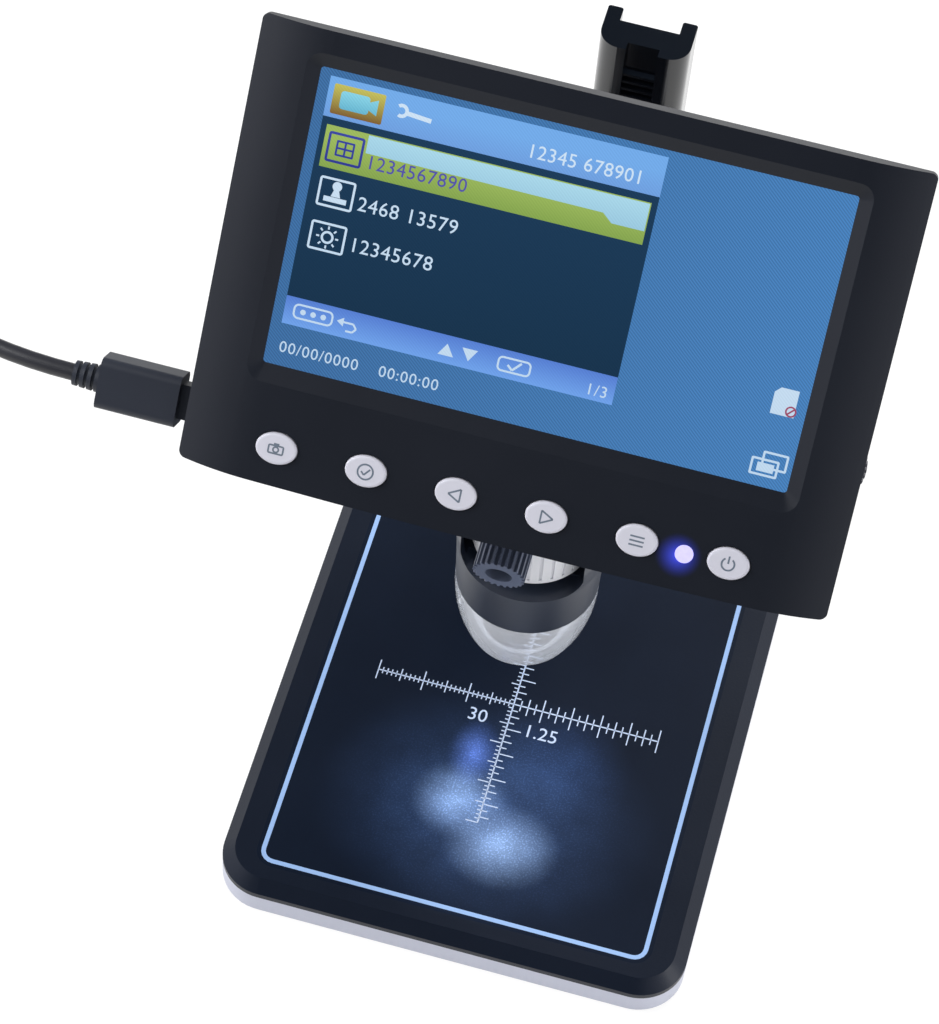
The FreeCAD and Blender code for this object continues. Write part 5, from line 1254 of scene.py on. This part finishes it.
def reach_on(name: str, plane: Plane) -> tuple[Vector, Vector]:
    """A node's lowest and highest corners in a plane's own millimetres.

    Args:
        name: The node.
        plane: The plane.

    Returns:
        The two corners.
    """
    back = plane.matrix().inverted()
    spots = [back @ v.co for v in frame["nodes"][name].data.vertices]
    low = Vector([min(s[i] for s in spots) for i in range(3)])
    high = Vector([max(s[i] for s in spots) for i in range(3)])
    return low, high


@dataclass
class Keys(Assembly):
    """The six oval keys, the status light and the faint mark on each key.

    Attributes:
        stroke: The width of the marks' lines.
        rise: How far the ink stands over a key.
    """

    stroke: float = 0.32
    rise: float = 0.02

    def build(self) -> None:
        """Draw each key's mark on its own body."""
        marks = {
            Body.SNAPSHOT: ("snapshot_button", self.camera),
            Body.CONFIRM: ("confirm_button", self.check),
            Body.LEFT: ("left_button", self.back),
            Body.RIGHT: ("right_button", self.forward),
            Body.MENU: ("menu_button", self.list),
            Body.POWER: ("power_button", self.power),
        }
        for body, (name, draw) in marks.items():
            low, high = reach_on(name, DISPLAY)
            drawing = Drawing(DISPLAY, high.z - 0.02, high.z + self.rise)
            draw(drawing, (low.x + high.x) / 2, (low.y + high.y) / 2)
            drawing.piece(name + "_mark", body, MARK_GREY)

    def camera(self, drawing: Drawing, x: float, v: float) -> None:
        """A camera for taking a picture."""
        drawing.box(x - 1.5, v - 1.0, x + 1.5, v + 0.8, 0.4, self.stroke)
        drawing.ring(x, v - 0.1, 0.65, self.stroke)
        drawing.bar(x - 0.5, v + 0.8, x + 0.5, v + 1.1)

    def check(self, drawing: Drawing, x: float, v: float) -> None:
        """A ring with a tick, for confirming."""
        drawing.ring(x, v, 1.55, self.stroke)
        drawing.path([(x - 0.75, v), (x - 0.2, v - 0.6), (x + 0.8, v + 0.6)], self.stroke)

    def back(self, drawing: Drawing, x: float, v: float) -> None:
        """A triangle that points left."""
        drawing.path([(x - 1.3, v), (x + 0.9, v + 1.2), (x + 0.9, v - 1.2), (x - 1.3, v)], self.stroke)

    def forward(self, drawing: Drawing, x: float, v: float) -> None:
        """A triangle that points right."""
        drawing.path([(x + 1.3, v), (x - 0.9, v - 1.2), (x - 0.9, v + 1.2), (x + 1.3, v)], self.stroke)

    def list(self, drawing: Drawing, x: float, v: float) -> None:
        """Three lines, for the list of choices."""
        for rise in (-0.8, 0.0, 0.8):
            drawing.bar(x - 1.3, v + rise - self.stroke / 2, x + 1.3, v + rise + self.stroke / 2)

    def power(self, drawing: Drawing, x: float, v: float) -> None:
        """A broken ring with an upright line, for on and off."""
        drawing.ring(x, v, 1.3, self.stroke, 125.0, 415.0)
        drawing.line((x, v + 0.1), (x, v + 1.5), self.stroke)


@dataclass
class Screen(Assembly):
    """The display's picture: a menu with plain figures on a blue field.

    Attributes:
        layer: How thick each layer of the picture is.
        left: The menu's left side.
        right: The menu's right side.
        top: The top of its dark panel.
        foot: The foot of its dark panel.
        title: The top of its title bar.
        low: The foot of its lower bar.
    """

    layer: float = 0.02
    left: float = -45.6
    right: float = 14.4
    top: float = 18.6
    foot: float = -14.1
    title: float = 25.7
    low: float = -19.2

    def start(self, level: int) -> Drawing:
        """Start a drawing on one of the picture's layers."""
        under = reach_on("lcd_panel", DISPLAY)[1].z + PICTURE_LIFT_MM
        return Drawing(DISPLAY, under, under + self.layer * level)

    def put(self, drawing: Drawing, name: str, finish: Finish) -> None:
        """Finish a drawing as a part of the picture."""
        drawing.piece("picture_" + name, Body.HEAD, finish)

    def build(self) -> None:
        """Draw the picture's layers."""
        self.panels()
        self.highlight()
        self.icons()
        self.words()
        self.lower_bar()
        self.side_icons()

    def panels(self) -> None:
        """The dark panel with the title bar and the lower bar."""
        for name, finish, y0, y1 in (("dark_panel", PANEL_DARK, self.foot, self.top),
                                     ("title_bar", TITLE_BLUE, self.top, self.title),
                                     ("lower_bar", FOOT_BLUE, self.low, self.foot)):
            drawing = self.start(1)
            drawing.bar(self.left, y0, self.right, y1)
            self.put(drawing, name, finish)

    def highlight(self) -> None:
        """The chosen row, pale above and yellow below, with a step at its right end."""
        drawing = self.start(2)
        drawing.area([(-44.6, 9.8), (13.3, 9.8), (13.3, 17.3), (-44.6, 17.3)])
        self.put(drawing, "row_lower", ROW_YELLOW)
        drawing = self.start(3)
        drawing.area([(-37.0, 13.9), (5.5, 13.7), (7.3, 12.2), (13.1, 12.2), (13.1, 17.1), (-37.0, 17.1)])
        self.put(drawing, "row_upper", ROW_BRIGHT)

    def icons(self) -> None:
        """The small pictures of the title bar and of the three rows."""
        drawing = self.start(2)
        drawing.area(soft_rectangle(-44.6, 19.3, -35.4, 24.6, 0.3))
        self.put(drawing, "film_box", ICON_YELLOW)
        drawing = self.start(3)
        drawing.area(soft_rectangle(-43.2, 20.4, -38.0, 23.6, 0.6))
        drawing.area([(-38.2, 21.4), (-36.5, 20.6), (-36.5, 23.4), (-38.2, 22.6)])
        self.put(drawing, "film_camera", ICON_CYAN)
        tool = self.start(2)
        tool.ring(-32.3, 22.6, 1.25, 0.62, -120.0, 130.0)
        tool.line((-31.4, 22.4), (-26.9, 22.0), 0.8)
        self.put(tool, "spanner", PALE)
        drawing = self.start(4)
        drawing.box(-43.9, 10.9, -37.4, 16.3, 0.5, 0.45)
        drawing.box(-42.3, 12.2, -39.0, 15.0, 0.2, 0.35)
        drawing.line((-40.65, 12.3), (-40.65, 14.9), 0.35)
        drawing.line((-42.2, 13.6), (-39.1, 13.6), 0.35)
        self.put(drawing, "size_icon", ICON_BLUE)
        drawing = self.start(4)
        drawing.box(-43.9, 3.0, -37.4, 8.3, 0.5, 0.4)
        drawing.bar(-42.7, 4.0, -38.6, 4.9)
        drawing.area([(-41.5, 5.0), (-39.8, 5.0), (-40.2, 6.2), (-41.1, 6.2)])
        drawing.disc(-40.65, 6.9, 0.85)
        drawing.box(-43.9, -4.9, -37.4, 0.3, 0.5, 0.4)
        drawing.ring(-40.65, -2.3, 1.15, 0.4)
        starts = arc(-40.65, -2.3, 1.45, 0.0, 360.0, 8)
        ends = arc(-40.65, -2.3, 2.0, 0.0, 360.0, 8)
        for start, end in zip(starts, ends):
            drawing.line(start, end, 0.3)
        self.put(drawing, "row_icons", PALE)

    def words(self) -> None:
        """Plain figures where the rows and the title stand."""
        drawing = self.start(4)
        drawing.figures("1234567890", -36.6, 11.3, 3.45, 1.06)
        self.put(drawing, "row_one", VIOLET)
        drawing = self.start(3)
        drawing.figures("2468 13579", -36.6, 3.7, 3.6, 1.06)
        drawing.figures("12345678", -36.6, -3.7, 3.6, 1.06)
        drawing.figures("12345 678901", -9.6, 20.0, 3.45, 1.04)
        drawing.figures("00/00/0000", -45.2, -24.4, 2.9, 1.1)
        drawing.figures("00:00:00", -27.0, -24.4, 2.9, 1.1)
        self.put(drawing, "figures", PALE)

    def lower_bar(self) -> None:
        """The lower bar's key signs, arrows and page figures."""
        drawing = self.start(3)
        drawing.box(-44.0, -17.9, -36.7, -15.1, 1.0, 0.35)
        for x in (-42.2, -40.35, -38.5):
            drawing.disc(x, -16.5, 0.5)
        drawing.path([(-34.2, -17.9), (-33.0, -17.9), (-32.4, -17.2), (-33.0, -16.4),
                      (-35.2, -16.4)], 0.35)
        drawing.area([(-36.0, -16.4), (-34.8, -17.2), (-34.8, -15.6)])
        drawing.area([(-17.4, -17.8), (-14.6, -17.8), (-16.0, -15.6)])
        drawing.area([(-13.3, -15.6), (-11.9, -17.8), (-10.5, -15.6)])
        drawing.box(-6.8, -18.1, -0.7, -15.3, 0.9, 0.35)
        drawing.path([(-4.9, -16.7), (-4.0, -17.5), (-2.5, -15.9)], 0.4)
        drawing.figures("1/3", 9.3, -18.3, 2.9, 1.1)
        self.put(drawing, "lower_signs", PALE)

    def side_icons(self) -> None:
        """The card and the box at the picture's right side."""
        drawing = self.start(2)
        drawing.area([(41.4, -13.6), (45.6, -13.6), (45.6, -8.7), (42.4, -8.7), (41.4, -9.7)])
        self.put(drawing, "card", PALE)
        drawing = self.start(3)
        drawing.ring(44.9, -12.6, 1.0, 0.3)
        drawing.line((44.3, -13.2), (45.5, -12.0), 0.3)
        self.put(drawing, "card_empty", ICON_RED)
        drawing = self.start(2)
        drawing.box(40.2, -25.0, 45.2, -21.8, 0.3, 0.4)
        drawing.box(42.0, -23.6, 46.6, -20.4, 0.3, 0.4)
        drawing.bar(41.4, -24.2, 44.4, -22.6)
        self.put(drawing, "box_sign", PALE)


@dataclass
class Lead(Assembly):
    """The lead: a free run down to the table, and its put-away coil.

    Attributes:
        diameter: The lead's diameter.
        route: The free run's points.
        hub: The middle of the coil.
        inner: The radius where the coil turns back.
        outer: The radius where it starts.
        step: How much each half turn changes the radius.
        inward: How many half turns go in.
        outward: How many go out again.
        per_half: How many points each half turn has.
        tail: The straight end before the far plug.
    """

    diameter: float = 3.2
    route: tuple[tuple[float, float, float], ...] = (
        (-82.5, -46.88, 138.07), (-93.5, -46.88, 138.07), (-113.0, -41.5, 137.0), (-134.0, -30.0, 127.0),
        (-150.0, -14.0, 105.0), (-160.0, 2.0, 77.0), (-166.0, 17.0, 47.0), (-169.5, 30.0, 22.0),
        (-171.5, 43.0, 5.0), (-170.5, 57.0, 1.6), (-170.5, 68.0, 1.6))
    hub: Flat = (-195.0, 71.2)
    inner: float = 10.0
    outer: float = 24.5
    step: float = 1.95
    inward: int = 7
    outward: int = 7
    per_half: int = 8
    tail: float = 20.5

    def coil(self) -> list[Vector]:
        """The coil's points: in on the table, up where it turns back, and out over itself."""
        low = self.diameter / 2
        high = low + 2 * self.step
        stops = [(self.outer - i * self.step, low) for i in range(self.inward + 1)]
        stops.append((self.inner, high))
        stops += [(self.inner + (i + 1) * self.step, high) for i in range(1, self.outward + 1)]
        turn = math.pi / self.per_half
        swell = 1 / (0.75 + 0.25 * math.cos(turn))
        points = []
        for i, ((r0, z0), (r1, z1)) in enumerate(zip(stops, stops[1:])):
            side = (-1) ** i
            centre = Vector((self.hub[0] + side * (r0 - r1) / 2, self.hub[1], 0.0))
            radius = (r0 + r1) / 2 * swell
            for k in range(self.per_half):
                share = (k + 0.5) / self.per_half
                angle = math.pi * (i + share)
                spot = Vector((math.cos(angle), math.sin(angle), 0.0)) * radius
                points.append(centre + spot + Vector((0.0, 0.0, z0 + (z1 - z0) * share)))
        last = (-1) ** (len(stops) - 1)
        end = Vector((self.hub[0] + last * stops[-1][0], self.hub[1], high))
        points.append(end + Vector((0.0, -self.tail / 2, 0.0)))
        points.append(end + Vector((0.0, -self.tail, 0.0)))
        return points

    def build(self) -> None:
        points = [Vector(p) for p in self.route] + self.coil()
        curve = bpy.data.curves.new("lead", "CURVE")
        curve.dimensions = "3D"
        curve.bevel_depth = self.diameter / 2 * MM
        curve.bevel_resolution = 4
        curve.use_fill_caps = True
        curve.resolution_u = 5
        spline = curve.splines.new("NURBS")
        spline.points.add(len(points) - 1)
        for spot, point in zip(spline.points, points):
            spot.co = (*(point * MM), 1.0)
        spline.order_u = 3
        spline.use_endpoint_u = True
        curve.materials.append(CORD_BLACK.make())
        lead = stand("lead", curve)
        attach(lead, Body.BASE.value)
        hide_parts("cord_run", "cord_coil")
        length = sum((b - a).length for a, b in zip(points, points[1:])) * MM
        log.info("lead laid, its points are %.3f m apart in all", length)


@dataclass(frozen=True)
class SoftBox:
    """A soft studio lamp.

    Attributes:
        name: The lamp's name.
        place: Where it stands, in metres.
        size: How wide it is.
        power: Its power in watts.
        colour: Its colour.
    """

    name: str
    place: tuple[float, float, float]
    size: float
    power: float
    colour: Colour = (255, 255, 255)

    def make(self) -> None:
        """Put the lamp in its place, facing the microscope."""
        lamp = bpy.data.lights.new(self.name, "AREA")
        lamp.size = self.size
        lamp.energy = self.power
        lamp.color = linear(self.colour)[:3]
        made = stand(self.name, lamp)
        made.location = self.place
        way = Vector((0.0, 0.0, 0.1)) - Vector(self.place)
        made.rotation_euler = way.to_track_quat("-Z", "Y").to_euler()


@dataclass
class Studio:
    """The floor, the soft light and the camera at the photograph's angle.

    Attributes:
        place_mm: Where the camera stands.
        forward: The direction in which it looks.
        up: Its upward direction.
        lens_mm: Its lens.
        lamps: The soft lamps.
        fill: How strong the light from all round is.
    """

    place_mm: tuple[float, float, float] = (58.90, -405.12, 665.60)
    forward: tuple[float, float, float] = (-0.10223, 0.54999, -0.82889)
    up: tuple[float, float, float] = (-0.24585, 0.79344, 0.55679)
    lens_mm: float = 125.9
    fill: float = 0.62
    lamps: tuple[SoftBox, ...] = (
        SoftBox("key_lamp", (-0.75, -0.15, 0.75), 0.5, 7.0),
        SoftBox("back_lamp", (0.35, 0.85, 0.65), 0.6, 7.0),
        SoftBox("side_lamp", (0.95, -0.1, 0.35), 0.4, 2.5),
    )

    def camera(self) -> None:
        """Place the camera."""
        view = bpy.data.cameras.new("photo_camera")
        view.lens = self.lens_mm
        view.sensor_width = 36.0
        view.clip_start = 0.01
        view.clip_end = 20.0
        made = stand("photo_camera", view)
        forward = Vector(self.forward).normalized()
        right = forward.cross(Vector(self.up)).normalized()
        up = right.cross(forward)
        turn = Matrix((right, up, -forward)).transposed().to_4x4()
        made.matrix_world = Matrix.Translation(Vector(self.place_mm) * MM) @ turn
        bpy.context.scene.camera = made

    def seen(self, n: Nodes) -> bpy.types.NodeSocket:
        """Where the white background shows: to the camera, in reflections and through glass."""
        path = n.add("ShaderNodeLightPath").outputs
        both = n.math("MAXIMUM", path["Is Camera Ray"], path["Is Glossy Ray"])
        return n.math("MAXIMUM", both, path["Is Transmission Ray"])

    def world(self) -> None:
        """Soft light from all round, with a white background."""
        world = bpy.data.worlds.new("studio")
        bpy.context.scene.world = world
        world.use_nodes = True
        n = Nodes(world.node_tree)
        world.node_tree.nodes.clear()
        path = n.add("ShaderNodeLightPath").outputs
        straight = n.math("MAXIMUM", path["Is Camera Ray"], path["Is Transmission Ray"])
        way = n.add("ShaderNodeSeparateXYZ")
        n.join(n.add("ShaderNodeTexCoord").outputs["Generated"], way.inputs[0])
        sideways = n.math("ABSOLUTE", way.outputs[0])
        gloss = n.mix(n.span(sideways, 0.2, 0.85), (0.07, 0.1, 0.15, 1.0), (1.2, 1.25, 1.45, 1.0))
        plain = n.mix(path["Is Glossy Ray"], (self.fill, self.fill, self.fill, 1.0), gloss)
        shade = n.mix(straight, plain, (1.0, 1.0, 1.0, 1.0))
        sky = n.add("ShaderNodeBackground")
        n.join(shade, sky.inputs["Color"])
        leave = n.add("ShaderNodeOutputWorld")
        n.join(sky.outputs[0], leave.inputs[0])

    def floor(self) -> None:
        """A plain white floor that keeps the object's shadow."""
        mesh = bpy.data.meshes.new("floor")
        half = 3.0
        mesh.from_pydata([(-half, -half, 0), (half, -half, 0), (half, half, 0), (-half, half, 0)], [],
                         [(0, 1, 2, 3)])
        material = bpy.data.materials.new("floor_white")
        material.use_nodes = True
        n = Nodes(material.node_tree)
        material.node_tree.nodes.clear()
        plain = n.add("ShaderNodeBsdfDiffuse")
        n.fill(plain, {"Color": (0.8, 0.8, 0.82, 1.0)})
        shade = n.add("ShaderNodeBsdfDiffuse")
        n.fill(shade, {"Color": (0.16, 0.16, 0.16, 1.0)})
        white = n.add("ShaderNodeEmission")
        n.fill(white, {"Color": (1.0, 1.0, 1.0, 1.0), "Strength": 0.88})
        both = n.add("ShaderNodeAddShader")
        for i, part in enumerate((shade, white)):
            n.join(part.outputs[0], both.inputs[i])
        mixed = n.add("ShaderNodeMixShader")
        for i, source in enumerate((self.seen(n), plain.outputs[0], both.outputs[0])):
            n.join(source, mixed.inputs[i])
        leave = n.add("ShaderNodeOutputMaterial")
        n.join(mixed.outputs[0], leave.inputs[0])
        mesh.materials.append(material)
        stand("floor", mesh)

    def build(self) -> None:
        """Set the camera, the floor and the light."""
        bpy.context.scene.view_settings.view_transform = "Standard"
        self.camera()
        self.world()
        self.floor()
        for lamp in self.lamps:
            lamp.make()


def assemblies() -> list[Assembly]:
    """The microscope's sub-assemblies, with their solids' finishes."""
    base = Base({"base_cover": BASE_BLACK, "base_tray": TRAY_GREY, "scale_mat": MAT_FACE,
                 "rubber_feet": FOOT_RUBBER, "base_screws": SCREW_STEEL, "ballast_plate": BALLAST_IRON,
                 "column": COLUMN_GLOSS, "column_screws": SCREW_STEEL})
    carriage = Carriage({"carriage_body": CARRIAGE_BLACK, "carriage_cover": CARRIAGE_BLACK,
                         "carriage_screws": SCREW_STEEL, "friction_pad": PAD_NYLON,
                         "friction_screw": SCREW_STEEL, "holder_arm": CARRIAGE_BLACK,
                         "arm_screws": SCREW_STEEL, "clamp_screw": SCREW_STEEL, "pinion_gear": GEAR_BRASS,
                         "pinion_shaft": SHAFT_STEEL, "height_knob_left": KNOB_BLACK,
                         "height_knob_right": KNOB_BLACK})
    barrel = Barrel({"barrel_housing": BARREL_SATIN, "barrel_screws": SCREW_STEEL, "clear_cap": CAP_CLEAR,
                     "light_board": BOARD_WHITE, "light_chips": CHIP_LIGHT, "focus_ring": RING_WHITE,
                     "focus_roller": ROLLER_GREY, "roller_bracket": BRACKET_BLACK,
                     "lens_carrier": CARRIER_BLACK, "lenses": LENS_GLASS, "sensor_board": BOARD_GREEN,
                     "image_sensor": CHIP_BLACK, "sensor_cable": RIBBON_ORANGE})
    screen = Screen({"front_bezel": BEZEL_BLACK, "rear_cover": COVER_BLACK, "case_screws": SCREW_STEEL,
                     "lcd_panel": FIELD_BLUE, "main_board": BOARD_GREEN, "button_board": BOARD_GREEN,
                     "button_switches": SWITCH_BLACK, "brightness_wheel": WHEEL_GREY,
                     "brightness_control": SWITCH_BLACK, "battery": BATTERY_WRAP,
                     "usb_socket": SOCKET_STEEL, "card_socket": SOCKET_STEEL})
    names = ("snapshot", "confirm", "left", "right", "menu", "power")
    keys = Keys({name + "_button": BUTTON_GREY for name in names} | {"status_light": STATUS_LIGHT})
    lead = Lead({"plug_shell": PLUG_BLACK, "plug_body": PLUG_BLACK, "strain_relief": PLUG_BLACK,
                 "far_plug_body": PLUG_BLACK, "far_plug_shell": SOCKET_STEEL})
    return [lead, base, carriage, barrel, screen, keys]


def main() -> None:
    """Build the studio, then each sub-assembly in order."""
    logging.basicConfig(level=logging.INFO, format="%(message)s")
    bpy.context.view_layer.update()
    Studio().build()
    for assembly in assemblies():
        assembly.dress(frame["nodes"])
        assembly.build()


if __name__ == "__main__":
    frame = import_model()
    main()
